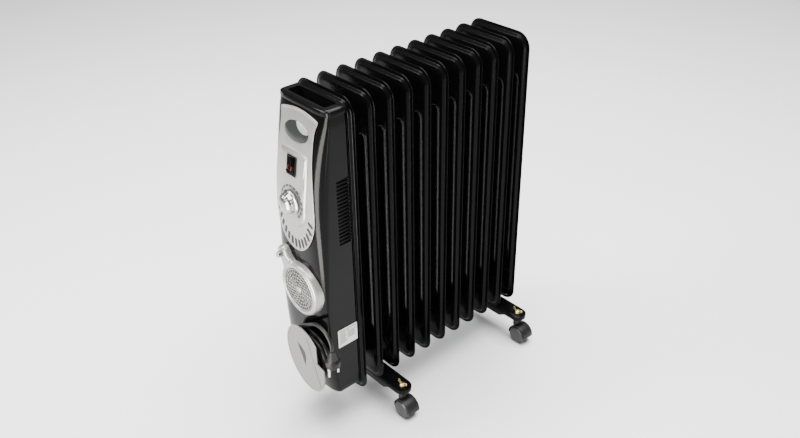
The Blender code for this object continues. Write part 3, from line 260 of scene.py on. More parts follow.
# Aluminium of the heating block, painted a dull dark grey for the shade it sits in behind the
# grille.
ALUMINIUM = finish_of("shade darkened aluminium", "#3a3a3b", "#262627", 0.46, metallic=1.0, patch_mm=6,
                      grain_mm=0.4, bump=0.08)
# Printed acrylic lens: nearly black grey under a glossy face.
LENS = finish_of("printed acrylic", "#343634", "#2b2d2b", 0.12, patch_mm=14, grain_mm=2.0,
                 bump=0.01, rough_play=0.02, Specular_IOR_Level=0.2)


def crescent(material, light, centre, radius):
    """Prints a lighter disc of the panel's silver over one corner of the lens, from behind."""
    tree = material.node_tree
    shader = tree.nodes["Principled BSDF"]
    below = shader.inputs["Base Color"].links[0].from_socket
    spot = put(tree, "ShaderNodeTexCoord").outputs["Object"]
    flat = put(tree, "ShaderNodeVectorMath", {0: spot, 1: (1, 0, 1)}, operation="MULTIPLY")
    away = put(tree, "ShaderNodeVectorMath", {0: flat.outputs[0], 1: centre},
               operation="DISTANCE").outputs["Value"]
    inside = put(tree, "ShaderNodeMapRange", {0: away, 1: radius, 2: radius - 0.0006})
    colour = put(tree, "ShaderNodeMix", {0: inside.outputs[0], 6: below, 7: linear(light)},
                 data_type="RGBA")
    tree.links.new(colour.outputs[2], shader.inputs["Base Color"])


crescent(LENS, "#a4a69f", (0.0220, 0.0, 0.6165), 0.0280)
# Polyester label film, matt white.
FILM = finish_of("polyester label film", "#e9e8e3", "#deddd8", 0.5, patch_mm=12, grain_mm=0.4,
                 bump=0.03)
# Screen printing ink, dark grey.
INK = finish_of("screen printing ink", "#2a2a2a", "#202020", 0.42, patch_mm=4, grain_mm=0.4,
                bump=0.04)
# Dark red polycarbonate of the marks on the rockers, a little see-through.
RED = finish_of("red polycarbonate", "#7a1513", "#5e0d0b", 0.22, patch_mm=3, grain_mm=0.5,
                bump=0.02, Transmission_Weight=0.15)
# PVC cord sheath: black, dull, with a slight draw texture 1 mm across.
SHEATH = finish_of("extruded PVC sheath", "#171717", "#0f0f0f", 0.40, patch_mm=12, grain_mm=1.0,
                   bump=0.12, rough_play=0.06, Specular_IOR_Level=0.22)
# Moulded nylon of the castor wheels: black, with a faint mould grain.
TREAD = finish_of("moulded nylon", "#1d1d1d", "#141414", 0.36, patch_mm=9, grain_mm=0.7,
                  bump=0.12, rough_play=0.06)
# Nickel plated brass of the plug's pins: pale and bright.
NICKEL = finish_of("nickel plated brass", "#d6d4cc", "#bdbab0", 0.22, metallic=1.0, patch_mm=4,
                   grain_mm=0.4, bump=0.03)


# ---------------------------------------------------------------- outlines and the box's face
def arc(cx, cz, radius, start, end, steps, radius_z=None):
    tall = radius if radius_z is None else radius_z
    turns = [math.radians(start + (end - start) * i / steps) for i in range(steps + 1)]
    return [(cx + radius * math.cos(t), cz + tall * math.sin(t)) for t in turns]


def rounded(x0, z0, x1, z1, radius, steps=6):
    r = max(radius, 0.0005)
    return (arc(x1 - r, z1 - r, r, 0, 90, steps) + arc(x0 + r, z1 - r, r, 90, 180, steps)
            + arc(x0 + r, z0 + r, r, 180, 270, steps) + arc(x1 - r, z0 + r, r, 270, 360, steps))


def capsule(start, end, width, steps=5):
    """A slot with round ends from start to end."""
    run = Vector(end) - Vector(start)
    turn = math.degrees(math.atan2(run.y, run.x))
    return (arc(*end, width / 2, turn - 90, turn + 90, steps)
            + arc(*start, width / 2, turn + 90, turn + 270, steps))


def set_back(z):
    """How far the face leans back near the box's top and bottom."""
    lean = max(0.0, z - LEAN_Z) / (BOX_SEAM - LEAN_Z)
    tuck = max(0.0, TUCK_Z - z) / (TUCK_Z - BOX_LOW)
    return LEAN_TOP * lean ** 2 + TUCK_BOTTOM * tuck ** 2


def side_reach(z):
    """How far forward the flat side runs at this height."""
    rise = max(0.0, z - SIDE_PEAK_Z) / (BOX_SEAM - SIDE_PEAK_Z)
    fall = max(0.0, SIDE_PEAK_Z - z) / (SIDE_PEAK_Z - BOX_LOW)
    return SIDE_PEAK - SIDE_TOP_DROP * rise ** SIDE_CURVE - SIDE_BOTTOM_DROP * fall ** SIDE_CURVE


def face_y(x, z, proud=0.0):
    """The Y of the box's rounded face, or of something standing proud of it."""
    side = side_reach(z)
    rounding = math.sqrt(max(0.0, 1.0 - abs(x / BOX_HALF) ** 4))
    return ahead(side + (BOX_DEPTH - set_back(z) - side) * rounding + proud)


def panel_outline(margin=0.0):
    """Arched top, flared shoulders, waist and round belly, clockwise from the top middle."""
    rise = PANEL_TOP - PANEL_SHOULDER_Z
    shoulder, waist, belly = (w - margin for w in (PANEL_SHOULDER, PANEL_WAIST, PANEL_BELLY))
    right = [(shoulder * k / 12, PANEL_TOP - margin - rise * (k / 12) ** 2 * 0.75)
             for k in range(1, 12)]
    right.append((shoulder - 0.001, PANEL_SHOULDER_Z - margin + 0.0022))
    right.append((shoulder, PANEL_SHOULDER_Z - margin))
    for k in range(1, 7):
        right.append((shoulder + (waist - shoulder) * math.sin(k / 6 * math.pi / 2),
                      PANEL_SHOULDER_Z - margin + (PANEL_WAIST_Z - PANEL_SHOULDER_Z) * k / 6))
    for k in range(1, 15):
        right.append((waist + (belly - waist) * (1 - math.cos(k / 14 * math.pi)) / 2,
                      PANEL_WAIST_Z + (PANEL_BELLY_Z - PANEL_WAIST_Z) * k / 14))
    right += arc(0, PANEL_BELLY_Z, belly, -4, -86, 22, PANEL_BELLY_Z - PANEL_BOTTOM - margin)
    left = [(-x, z) for x, z in reversed(right)]
    return [(0.0, PANEL_TOP - margin)] + right + [(0.0, PANEL_BOTTOM + margin)] + left


def depth_in(ring, spots):
    """How far inside a closed ring each spot lies, negative outside."""
    a = np.array(ring)
    b = np.roll(a, -1, 0)
    p = np.array(spots)[:, None]
    run = b - a
    t = np.clip(((p - a) * run).sum(2) / (run ** 2).sum(1), 0, 1)
    gap = np.linalg.norm(p - a - t[..., None] * run, axis=2).min(1)
    slope = run[:, 0] / np.where(run[:, 1] == 0, 1e-12, run[:, 1])
    passed = a[:, 0] + (p[..., 1] - a[:, 1]) * slope > p[..., 0]
    crossed = (a[:, 1] > p[..., 1]) != (b[:, 1] > p[..., 1])
    return np.where((crossed & passed).sum(1) % 2 == 1, gap, -gap)


def step(low, high, value):
    """Rises smoothly from 0 at low to 1 at high."""
    t = np.clip((value - low) / (high - low), 0, 1)
    return t * t * (3 - 2 * t)


# ---------------------------------------------------------------- making and placing pieces
def place(name, shape, coat, body, slot, *nodes, crease=30.0):
    """Gives a mesh its finish and body, in place of the CAD nodes that it stands for."""
    mesh = closed_mesh(name, shape) if isinstance(shape, bmesh.types.BMesh) else shape
    mesh.materials.clear()
    mesh.materials.append(coat)
    mesh.shade_smooth()
    mesh.set_sharp_from_angle(angle=math.radians(crease))
    made = bpy.data.objects.new(name, mesh)
    bpy.context.scene.collection.objects.link(made)
    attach(made, body)
    if nodes:
        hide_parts(*nodes)
    return made


def closed_mesh(name, bm, merge=1e-5):
    bmesh.ops.remove_doubles(bm, verts=bm.verts, dist=merge)
    bmesh.ops.recalc_face_normals(bm, faces=bm.faces)
    mesh = bpy.data.meshes.new(name)
    bm.to_mesh(mesh)
    bm.free()
    return mesh


def worked(mesh, *steps):
    """The mesh after modifiers, each given as its kind and settings."""
    held = bpy.data.objects.new("work", mesh)
    bpy.context.scene.collection.objects.link(held)
    for kind, settings in steps:
        modifier = held.modifiers.new(kind.lower(), kind)
        for key, value in settings.items():
            setattr(modifier, key, value)
    graph = bpy.context.evaluated_depsgraph_get()
    made = bpy.data.meshes.new_from_object(held.evaluated_get(graph))
    bpy.data.objects.remove(held)
    return made


def plate(sheet, thickness, *steps):
    """A flat sheet's mesh, given its thickness behind the front, then any further modifiers."""
    mesh = bpy.data.meshes.new("plate")
    sheet.to_mesh(mesh)
    sheet.free()
    return worked(mesh, ("SOLIDIFY", {"thickness": thickness, "offset": -1.0}), *steps)


def edge(width_mm, segments=2, angle=32.0):
    """A bevel for the edges sharper than an angle."""
    return "BEVEL", {"width": width_mm / 1000, "segments": segments, "limit_method": "ANGLE",
                     "angle_limit": math.radians(angle), "miter_outer": "MITER_ARC"}


def edged(node, coat, slot, width_mm=0.6, segments=2, crease=32.0, name=None):
    """A CAD node's shape with its corners broken, as moulding and pressing leave them."""
    bm = bmesh.new()
    bm.from_mesh(frame["nodes"][node].data)
    bmesh.ops.remove_doubles(bm, verts=bm.verts, dist=1e-6)
    bmesh.ops.dissolve_limit(bm, angle_limit=math.radians(0.8), verts=bm.verts, edges=bm.edges)
    mesh = bpy.data.meshes.new(node)
    bm.to_mesh(mesh)
    bm.free()
    mesh = worked(mesh, edge(width_mm, segments))
    return place(name or node + "_finished", mesh, coat, frame["nodes"][node]["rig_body"], slot,
                 node, crease=crease)


def flat_sheet(outline, holes=(), spacing=0.003, rings=()):
    """Triangles in the XZ plane inside an outline and outside its holes, facing -Y."""
    points, edges, faces = [], [], []
    for ring in (outline, *holes):
        area = sum(a[0] * b[1] - b[0] * a[1] for a, b in zip(ring, ring[1:] + ring[:1]))
        faces.append(list(range(len(points), len(points) + len(ring))))
        points += ring if area > 0 else ring[::-1]
    for ring in rings:
        first = len(points)
        edges += [(first + i, first + (i + 1) % len(ring)) for i in range(len(ring))]
        points += ring
    low, high = np.min(outline, 0), np.max(outline, 0)
    xs, zs = (np.arange(low[i] + spacing / 2, high[i], spacing) for i in (0, 1))
    grid = np.array([(x, z) for x in xs for z in zs])
    clear = depth_in(outline, grid) > spacing * 0.45
    for ring in (*holes, *rings):
        clear &= abs(depth_in(ring, grid)) > spacing * 0.45
    for hole in holes:
        clear &= depth_in(hole, grid) < 0
    points += [tuple(p) for p in grid[clear]]
    spots, _, triangles, _, _, origins = delaunay_2d_cdt([Vector(p) for p in points], edges,
                                                         faces, 0, 1e-7)
    bm = bmesh.new()
    made = [bm.verts.new((p.x, 0.0, p.y)) for p in spots]
    for triangle, origin in zip(triangles, origins):
        if list(origin) == [0]:
            face = bm.faces.new([made[i] for i in triangle])
            face.normal_update()
            if face.normal.y > 0:
                face.normal_flip()
    bmesh.ops.delete(bm, geom=[v for v in bm.verts if not v.link_faces], context="VERTS")
    return bm


def shaped(mesh, move):
    """Moves every point of a mesh at once: move takes and gives an array of points."""
    points = np.zeros(len(mesh.vertices) * 3, np.float32)
    mesh.vertices.foreach_get("co", points)
    mesh.vertices.foreach_set("co", move(points.reshape(-1, 3).astype(float)).ravel())
    mesh.update()
    return mesh


def draped(mesh, proud=0.0, relief=None):
    """Lays a flat piece on the box's face, standing proud of it, with a relief of its own."""
    def move(p):
        rise = proud + (relief(p[:, [0, 2]]) if relief else 0)
        p[:, 1] += np.array([face_y(x, z) for x, z in p[:, [0, 2]]]) - rise
        return p
    return shaped(mesh, move)


def lathe(bm, profile, centre, axis, sides=48, wobble=None):
    """Turns (radius, distance) round an axis. wobble may change the radius with the angle."""
    turn = Vector((0, 0, 1)).rotation_difference(Vector(axis)).to_matrix()
    rings = []
    for i, (radius, distance) in enumerate(profile):
        ring = []
        for k in range(sides):
            angle = 2 * math.pi * k / sides
            r = radius * (wobble(i, angle) if wobble else 1)
            ring.append(bm.verts.new(Vector(centre) + turn @ Vector(
                (r * math.cos(angle), r * math.sin(angle), distance))))
        rings.append(ring)
    for low, high in zip(rings, rings[1:]):
        for k in range(sides):
            bm.faces.new((low[k], low[(k + 1) % sides], high[(k + 1) % sides], high[k]))
    for ring in (rings[0], rings[-1]):
        bm.faces.new(ring)
    return bm


def brick(bm, low, high, turn=None):
    """A box between two corners, turned by a matrix afterwards."""
    made = bmesh.ops.create_cube(bm, size=1.0)["verts"]
    for corner in made:
        spot = Vector(low[i] + (corner.co[i] + 0.5) * (high[i] - low[i]) for i in range(3))
        corner.co = turn @ spot if turn else spot
    return made


# ---------------------------------------------------------------- repeating trees
def new_tree(name, inputs):
    """An empty tree with its named inputs, and their sockets."""
    tree = bpy.data.node_groups.new(name, "GeometryNodeTree")
    for label, kind in inputs:
        tree.interface.new_socket(name=label, in_out="INPUT", socket_type="NodeSocket" + kind)
    tree.interface.new_socket(name="Geometry", in_out="OUTPUT",
                              socket_type="NodeSocketGeometry")
    return tree, tree.nodes.new("NodeGroupInput").outputs


def finish_tree(tree, given, points, rotation=None, scale=None):
    """Puts the unit on the points, realised and coated."""
    unit = put(tree, "GeometryNodeObjectInfo", {"Object": given["Unit"]})
    spread = {"Points": points, "Instance": unit.outputs["Geometry"]}
    if rotation:
        spread |= {"Rotation": rotation, "Scale": scale}
    copies = put(tree, "GeometryNodeInstanceOnPoints", spread)
    real = put(tree, "GeometryNodeRealizeInstances", {"Geometry": copies.outputs[0]})
    coated = put(tree, "GeometryNodeSetMaterial", {"Geometry": real.outputs[0],
                                                   "Material": given["Coat"]})
    put(tree, "NodeGroupOutput", {"Geometry": coated.outputs[0]})
    return tree


def row_tree():
    """Count units in a straight row, Pitch apart."""
    tree, given = new_tree("row", [("Unit", "Object"), ("Coat", "Material"), ("Count", "Int"),
                                   ("Pitch", "Vector")])
    line = put(tree, "GeometryNodeMeshLine", {"Count": given["Count"], "Offset": given["Pitch"]})
    return finish_tree(tree, given, line.outputs[0])


def ring_tree():
    """Count units round the Y axis at Radius from Start, Step apart, each wider by Grow."""
    tree, given = new_tree("ring", [("Unit", "Object"), ("Coat", "Material"), ("Count", "Int"),
                                    ("Radius", "Float"), ("Start", "Float"), ("Step", "Float"),
                                    ("Grow", "Float")])
    line = put(tree, "GeometryNodeMeshLine", {"Count": given["Count"]})
    index = put(tree, "GeometryNodeInputIndex").outputs[0]
    angle = put(tree, "ShaderNodeMath", {0: index, 1: given["Step"], 2: given["Start"]},
                operation="MULTIPLY_ADD").outputs[0]
    across = [put(tree, "ShaderNodeMath", {0: put(
        tree, "ShaderNodeMath", {0: angle}, operation=kind).outputs[0], 1: given["Radius"]},
        operation="MULTIPLY").outputs[0] for kind in ("COSINE", "SINE")]
    spot = put(tree, "ShaderNodeCombineXYZ", {"X": across[0], "Z": across[1]}).outputs[0]
    moved = put(tree, "GeometryNodeSetPosition", {"Geometry": line.outputs[0], "Position": spot})
    back = put(tree, "ShaderNodeMath", {0: angle, 1: -1.0}, operation="MULTIPLY").outputs[0]
    turn = put(tree, "ShaderNodeCombineXYZ", {"Y": back}).outputs[0]
    size = put(tree, "ShaderNodeMath", {0: index, 1: given["Grow"], 2: 1.0},
               operation="MULTIPLY_ADD").outputs[0]
    scale = put(tree, "ShaderNodeCombineXYZ", {"X": size, "Y": 1.0, "Z": 1.0}).outputs[0]
    return finish_tree(tree, given, moved.outputs[0], turn, scale)


ROW = row_tree()
RING = ring_tree()


def repeated(tree, unit, coat, **sizes):
    """The plain mesh that a tree makes of a unit mesh."""
    held = bpy.data.objects.new("unit", unit)
    made = bpy.data.objects.new("copies", bpy.data.meshes.new("copies"))
    for obj in (held, made):
        bpy.context.scene.collection.objects.link(obj)
    modifier = made.modifiers.new("repeat", "NODES")
    modifier.node_group = tree
    values = {"Unit": held, "Coat": coat, **sizes}
    for item in tree.interface.items_tree:
        if item.in_out == "INPUT":
            modifier[item.identifier] = values[item.name]
    graph = bpy.context.evaluated_depsgraph_get()
    mesh = bpy.data.meshes.new_from_object(made.evaluated_get(graph))
    for obj in (made, held):
        bpy.data.objects.remove(obj)
    return mesh


# ---------------------------------------------------------------- mains lead, wound on the reel
def on_reel(angle, radius):
    """A point in the reel's plane, by angle in degrees."""
    turn = math.radians(angle)
    return Vector((REEL_X + radius * math.cos(turn), REEL_Z + radius * math.sin(turn)))


def heading(angle):
    """The unit vector at an angle in degrees."""
    return Vector((math.cos(math.radians(angle)), math.sin(math.radians(angle))))


def lead_route():
    """Gland, back row inward, across to the front row, outward, and the tail down to the plug."""
    clear_r = CORD_OUTER + CORD_D + GAP
    inner, outer = CORD_INNER - 0.0005, CORD_OUTER + 0.0002
    back_y, front_y = COIL_Y + CORD_D / 2, COIL_Y - CORD_D / 2
    way = heading(LEAD_LEAVE - 90)
    lead_end = on_reel(LEAD_LEAVE, clear_r)
    route = [(*(lead_end - way * LEAD_RUN * (1 - k / 6)), back_y) for k in range(6)]
    # angle turned, first and last radius, first and last row of each stretch, all clockwise
    stretches = ((90, clear_r, outer, back_y, back_y), (900, outer, inner, back_y, back_y),
                 (60, inner, inner, back_y, front_y), (765, inner, outer, front_y, front_y),
                 (90, outer, clear_r, front_y, front_y))
    angle = LEAD_LEAVE
    for turned, r0, r1, y0, y1 in stretches:
        steps = round(turned / 15)
        for k in range(steps):
            t = k / steps
            soft = t * t * (3 - 2 * t) if turned < 100 else t
            spot = on_reel(angle - turned * t, r0 + (r1 - r0) * soft)
            route.append((*spot, y0 + (y1 - y0) * soft))
        angle -= turned
    leave = heading(TAIL_LEAVE - 90)
    start = on_reel(TAIL_LEAVE, clear_r)
    route += [(*(start + leave * TAIL_RISE * k / 6), front_y) for k in range(7)]
    side = heading(TAIL_LEAVE - 180)
    centre = start + leave * TAIL_RISE + side * TAIL_BEND
    route += [(*(centre + heading(TAIL_LEAVE - TAIL_LEAVE * k / 14) * TAIL_BEND), front_y)
              for k in range(1, 15)]
    last = Vector(route[-1][:2]) - Vector((0, CORD_D / 2))
    return [Vector((x, y, z)) for x, z, y in route + [(*last, front_y)]]


def mains_lead():
    """The wound lead with its moulded plug, pins and strain relief."""
    route = lead_route()
    curve = bpy.data.curves.new("mains_lead", "CURVE")
    curve.dimensions = "3D"
    curve.bevel_depth = CORD_D / 2
    curve.bevel_resolution = 5
    curve.use_fill_caps = True
    spline = curve.splines.new("POLY")
    spline.points.add(len(route) - 1)
    for point, spot in zip(spline.points, route):
        point.co = (*spot, 1.0)
    spline.use_smooth = True
    curve.materials.append(SHEATH)
    lead = bpy.data.objects.new("mains_lead", curve)
    bpy.context.scene.collection.objects.link(lead)
    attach(lead, "heater")
    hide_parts("cord_coil", "cord_lead", "cord_tail")

    # Moulded plug: a neck with grip ribs widening to a round face, and two plated pins.
    end = route[-1] - Vector((0, 0, GAP))
    profile = [(0.0036, 0.0), (0.0050, 0.0004)]
    rib = ((0.0054, 0.0030), (0.0062, 0.0034), (0.0064, 0.0050), (0.0058, 0.0054))
    profile += [(r + 0.0010 * k, along + 0.0034 * k) for k in range(4) for r, along in rib]
    profile += [(0.0105, 0.0180), (0.0126, 0.0200), (PLUG_R, 0.0215), (PLUG_R, 0.0300),
                (0.0122, PLUG_LENGTH), (0.0, PLUG_LENGTH)]
    body = lathe(bmesh.new(), profile, end, (0, 0, -1), 40)
    plug = place("plug_body", body, SHEATH, "heater", "black_rubber", "plug")
    pins = bmesh.new()
    for side in (-1, 1):
        spot = end + Vector((0, side * PIN_SPACING / 2, -PLUG_LENGTH))
        lathe(pins, [(PIN_R, -0.001), (PIN_R, PIN_LENGTH - 0.002),
                     (PIN_R * 0.85, PIN_LENGTH - 0.0005), (PIN_R * 0.5, PIN_LENGTH)],
              spot, (0, 0, -1), 20)
    pins = place("plug_pins", pins, NICKEL, "heater", "chrome")

    # Strain relief: a tapered sleeve with rings, out of a round boss on the box.
    way = heading(LEAD_LEAVE - 90)
    along = Vector((way.x, 0, way.y))
    foot = route[0] - along * (GAP + 0.025)
    profile = [(0.0055, -0.004), (0.0062, 0.0)]
    for k in range(6):
        r = 0.0062 - 0.0003 * k
        profile += [(r, 0.0010 + 0.0040 * k), (r, 0.0026 + 0.0040 * k),
                    (r - 0.0009, 0.0030 + 0.0040 * k), (r - 0.0009, 0.0046 + 0.0040 * k)]
    profile += [(0.0042, 0.0250), (0.0037, 0.0252)]
    sleeve = lathe(bmesh.new(), profile, foot, along, 32)
    lathe(sleeve, [(0.0085, -0.019), (0.0085, 0.0070), (0.0072, 0.0082), (0.0, 0.0082)],
          foot, (0, -1, 0), 32)
    place("strain_relief", sleeve, SHEATH, "heater", "black_rubber",
          "cord_gland")


# ---------------------------------------------------------------- fins and headers
def pressed_fins():
    """One fin: thin seam flange, raised oil body, long pressed webs; then eleven in a row."""
    def rim(depth):
        return rounded(-FIN_HALF + depth, FIN_LOW + depth, FIN_HALF - depth, FIN_HIGH - depth,
                       FIN_CORNER - depth, 8)

    webs = (-0.0445, 0.0, 0.0445)
    low, high, wide = 0.145, 0.556, 0.0118

    def oval(x, inset=0.0):
        return capsule((x, low), (x, high), 2 * (wide - inset), 8)

    rings = [rim(d) for d in (0.0005, 0.0052, 0.0064, 0.0078, 0.0092, 0.0106)]
    rings += [oval(x, inset) for x in webs for inset in (0.0, 0.0012, 0.0026, 0.0040)]
    bm = flat_sheet(rim(0.0), (), 0.0080, rings)
    spots = np.array([(v.co.x, v.co.z) for v in bm.verts])
    depth = depth_in(rim(0.0), spots)
    half = SHEET / 2 * step(-0.0001, 0.0006, depth)
    half += (BODY_DEPTH - SHEET) / 2 * step(0.0050, 0.0108, depth)
    for x in webs:
        half -= 0.0032 * step(0.0, 0.0040, depth_in(oval(x), spots))
    half[depth < 0.0001] = 0
    for vertex, rise in zip(bm.verts, half):
        vertex.co.y = -rise
    bm.verts.ensure_lookup_table()
    copy = bmesh.ops.duplicate(bm, geom=bm.verts[:] + bm.edges[:] + bm.faces[:])["geom"]
    for part in copy:
        if isinstance(part, bmesh.types.BMVert):
            part.co.y = -part.co.y
    unit = shaped(closed_mesh("fin", bm), lambda p: p + np.array([0, FIN_1_Y, 0]))
    mesh = repeated(ROW, unit, ENAMEL, Count=FIN_COUNT, Pitch=(0.0, FIN_PITCH, 0.0))
    names = [f"fin_{k + 1:02d}" for k in range(FIN_COUNT)]
    place("pressed_fins", mesh, ENAMEL, "heater", "black_enamel", *names, crease=50)

    # Headers: a collar between each pair of fins with a weld bead in its middle.
    bm = bmesh.new()
    for z in HEADERS_Z:
        profile = [(0.020, -0.0065), (HEADER_R, -0.0063), (HEADER_R, 0.0)]
        for k in range(FIN_COUNT - 1):
            mid = (k + 0.5) * FIN_PITCH
            profile += [(HEADER_R + 0.003, k * FIN_PITCH + 0.0060),
                        (HEADER_R, k * FIN_PITCH + 0.0100),
                        (HEADER_R, mid - 0.0020), (HEADER_R + 0.0009, mid - 0.0008),
                        (HEADER_R + 0.0009, mid + 0.0008), (HEADER_R, mid + 0.0020),
                        (HEADER_R, mid + 0.0098), (HEADER_R + 0.003, mid + 0.0138)]
        last = (FIN_COUNT - 1) * FIN_PITCH
        profile += [(HEADER_R, last), (HEADER_R, last + 0.0065), (HEADER_R - 0.001, last + 0.0082),
                    (HEADER_R - 0.0035, last + 0.0090), (0.0, last + 0.0090)]
        lathe(bm, profile, (0, FIN_1_Y, z), (0, 1, 0), 40)
    place("oil_headers", bm, ENAMEL, "heater", "black_enamel")


# ---------------------------------------------------------------- control box
def box_shell():
    """The moulded box as a grid of quads, with its louvre slots left open in the sides."""
    slots = [LOUVRE_LOW_Z + k * LOUVRE_PITCH for k in range(LOUVRE_COUNT)]
    low = BOX_LOW + BOX_EDGE
    levels = set(np.round(np.linspace(low, slots[0] - 0.003, 48), 5))
    levels |= {round(z + d, 5) for z in slots for d in (0.0, LOUVRE_SLOT)}
    levels |= set(np.round(np.linspace(slots[-1] + LOUVRE_PITCH, BOX_SEAM, 18), 5))
    levels = sorted(levels)
    sides = [-BOX_BACK, -LOUVRE_BACK, -0.016, -0.022, -0.028, -LOUVRE_FRONT]

    def section(z):
        reach = side_reach(z)
        right = [(BOX_HALF - (0.0022 * (k == 0)), FIN_1_Y + y) for k, y in enumerate(sides)]
        right += [(BOX_HALF, ahead(LOUVRE_FRONT + (reach - LOUVRE_FRONT) * k / 4))
                  for k in (1, 2, 3)]
        right += [(x, face_y(x, z)) for x in (BOX_HALF * math.sqrt(math.cos(t)) for t in
                  (math.pi / 2 * (k / 24) for k in range(24)))]
        return right + [(0.0, face_y(0.0, z))] + [(-x, y) for x, y in reversed(right)]

    bm = bmesh.new()
    rings = []
    base = FIN_1_Y - BOX_BACK
    for k in range(7):
        angle = math.radians(90 * k / 6)
        inset, z = BOX_EDGE * (1 - math.sin(angle)), BOX_LOW + BOX_EDGE * (1 - math.cos(angle))
        rings.append([(x * (BOX_HALF - inset) / BOX_HALF,
                       base - max(0.0, base - y - inset * (base - y > inset)), z)
                      for x, y in section(z)])
    for z in levels[1:]:
        pinch = 1 - 0.022 * float(step(BOX_SEAM - 0.016, BOX_SEAM - 0.002, z))
        rings.append([(x * pinch, y, z) for x, y in section(z)])
    made = [[bm.verts.new(p) for p in ring] for ring in rings]
    count = len(made[0])
    window = panel_outline(0.0045)
    for lower, upper in zip(made, made[1:]):
        z = (lower[0].co.z + upper[0].co.z) / 2
        slotted = any(s < z < s + LOUVRE_SLOT for s in slots)
        for i in range(count - 1):
            mid = (lower[i].co + lower[i + 1].co + upper[i].co + upper[i + 1].co) / 4
            on_side = (abs(mid.x) > BOX_HALF - 0.0001
                       and LOUVRE_BACK < FIN_1_Y - mid.y < LOUVRE_FRONT)
            corners = [(v.co.x, v.co.z) for v in (lower[i], lower[i + 1], upper[i], upper[i + 1])]
            in_front = mid.y < ahead(0.040)
            inlet = all(math.hypot(x - FAN_X, z - FAN_Z) < 0.044 for x, z in corners)
            opened = in_front and (inlet or all(depth_in(window, corners) > 0))
            if not (slotted and on_side or opened):
                bm.faces.new((lower[i], lower[i + 1], upper[i + 1], upper[i]))
    bm.faces.new(made[0])
    mesh = closed_mesh("box_shell", bm)
    mesh = worked(mesh, ("SOLIDIFY", {"thickness": BOX_WALL, "offset": -1.0}))
    place("moulded_box", mesh, GLOSS_ABS, "heater", "black_gloss_plastic", "box_shell", crease=40)
    for side, name in ((-1, "left"), (1, "right")):
        bm = bmesh.new()
        curve = [(LOUVRE_BACK + (LOUVRE_FRONT - LOUVRE_BACK) * k / 8, 0.0018 * (k / 8) ** 2)
                 for k in range(9)]
        lip = [(0.0, 0.0), (0.0011, 0.0003), (0.0014, 0.0010), (0.0007, 0.0024), (0.0, 0.0026)]
        rows = [[bm.verts.new((side * (BOX_HALF - 0.0002 + out), ahead(d), rise - drop))
                 for out, rise in lip] for d, drop in curve]
        for a, b in zip(rows, rows[1:]):
            for k in range(len(lip)):
                bm.faces.new((a[k - 1], a[k], b[k], b[k - 1]))
        bm.faces.new(rows[0])
        bm.faces.new(rows[-1])
        mesh = repeated(ROW, closed_mesh("lip", bm), GLOSS_ABS, Count=LOUVRE_COUNT,
                        Pitch=(0.0, 0.0, LOUVRE_PITCH))
        shaped(mesh, lambda p: p + np.array([0, 0, LOUVRE_LOW_Z + LOUVRE_SLOT + 0.0004]))
        place("louvre_lips_" + name, mesh, GLOSS_ABS, "heater", "black_gloss_plastic")


def control_panel():
    """Pearl plate over the box's face, with its raised tongue, vents and cut-outs."""
    vents = []
    tall = PANEL_BELLY_Z - PANEL_BOTTOM
    for number in range(VENT_COUNT):
        angle = math.radians(-172 + 164 * (number + 0.5) / VENT_COUNT)
        rim = Vector((PANEL_BELLY * math.cos(angle), PANEL_BELLY_Z + tall * math.sin(angle)))
        inward = (Vector((0.0, VENT_AIM)) - rim).normalized()
        long = VENT_LENGTH * (0.72 + 0.28 * abs(math.sin(angle)))
        near = rim + inward * (VENT_MARGIN + VENT_WIDTH / 2)
        vents.append(capsule(near, near + inward * (long - VENT_WIDTH), VENT_WIDTH))
    badge = arc(0, BADGE_Z, BADGE_HALF_W, 0, 360, 48, BADGE_HALF_H)[:-1]
    shaft = arc(0, KNOB_Z, 0.006, 0, 360, 24)[:-1]
    half_w, half_h = SWITCH_WIDTH / 2 - 0.001, SWITCH_HEIGHT / 2 - 0.001
    switch = rounded(-half_w, SWITCH_Z - half_h, half_w, SWITCH_Z + half_h, 0.001, 2)
    tongue = ([(TONGUE_HALF, TONGUE_TOP), (-TONGUE_HALF, TONGUE_TOP)]
              + arc(0, TONGUE_LOW + 0.040, TONGUE_HALF, 180, 360, 30, 0.040))
    bm = flat_sheet(panel_outline(), vents + [badge, shaft, switch], 0.0024,
                    [tongue, tongue_inset(tongue)])
    mesh = plate(bm, PANEL_PROUD / 2, edge(0.3, 2, 60))
    draped(mesh, PANEL_PROUD,
           lambda spots: (TONGUE_RISE + BOWL) * step(-0.0002, 0.0028, depth_in(tongue, spots))
           - BOWL * step(0.0004, 0.0040, depth_in(panel_outline(), spots)))
    # Partly real and partly painted shade: black plastic sits behind the real slots, but these dark
    # sheets sit just under the panel's face, standing in for the shade inside the vent holes.
    shade_sheets = bmesh.new()
    for vent in vents:
        shade_sheets.from_mesh(plate(flat_sheet(vent, (), 0.004), 0.0008))
    shade_sheets = draped(closed_mesh("vent_liners", shade_sheets), PANEL_PROUD - BOWL - 0.0001)
    place("vent_liners", shade_sheets, MATT_PP, "heater", "black_matt_plastic")
    place("pearl_panel", mesh, PEARL, "heater", "silver_lacquer", "control_panel", crease=42)

    inner = arc(0, BADGE_Z, BADGE_HALF_W - 0.0004, 0, 360, 48, BADGE_HALF_H - 0.0004)[:-1]
    mesh = plate(flat_sheet(inner, (), 0.003), 0.0030, edge(0.5, 2, 60))
    draped(mesh, PANEL_PROUD + 0.0002,
           lambda spots: 0.0012 * step(0, 0.009, depth_in(badge, spots)))
    place("badge_lens", mesh, LENS, "heater", "dark_lens", "panel_badge", crease=40)


def tongue_inset(ring):
    """A line a little inside the tongue's edge, so that its slope has clean points."""
    middle = Vector((0.0, (TONGUE_TOP + TONGUE_LOW) / 2))
    return [tuple(Vector(p) + (middle - Vector(p)).normalized() * 0.0028) for p in ring]


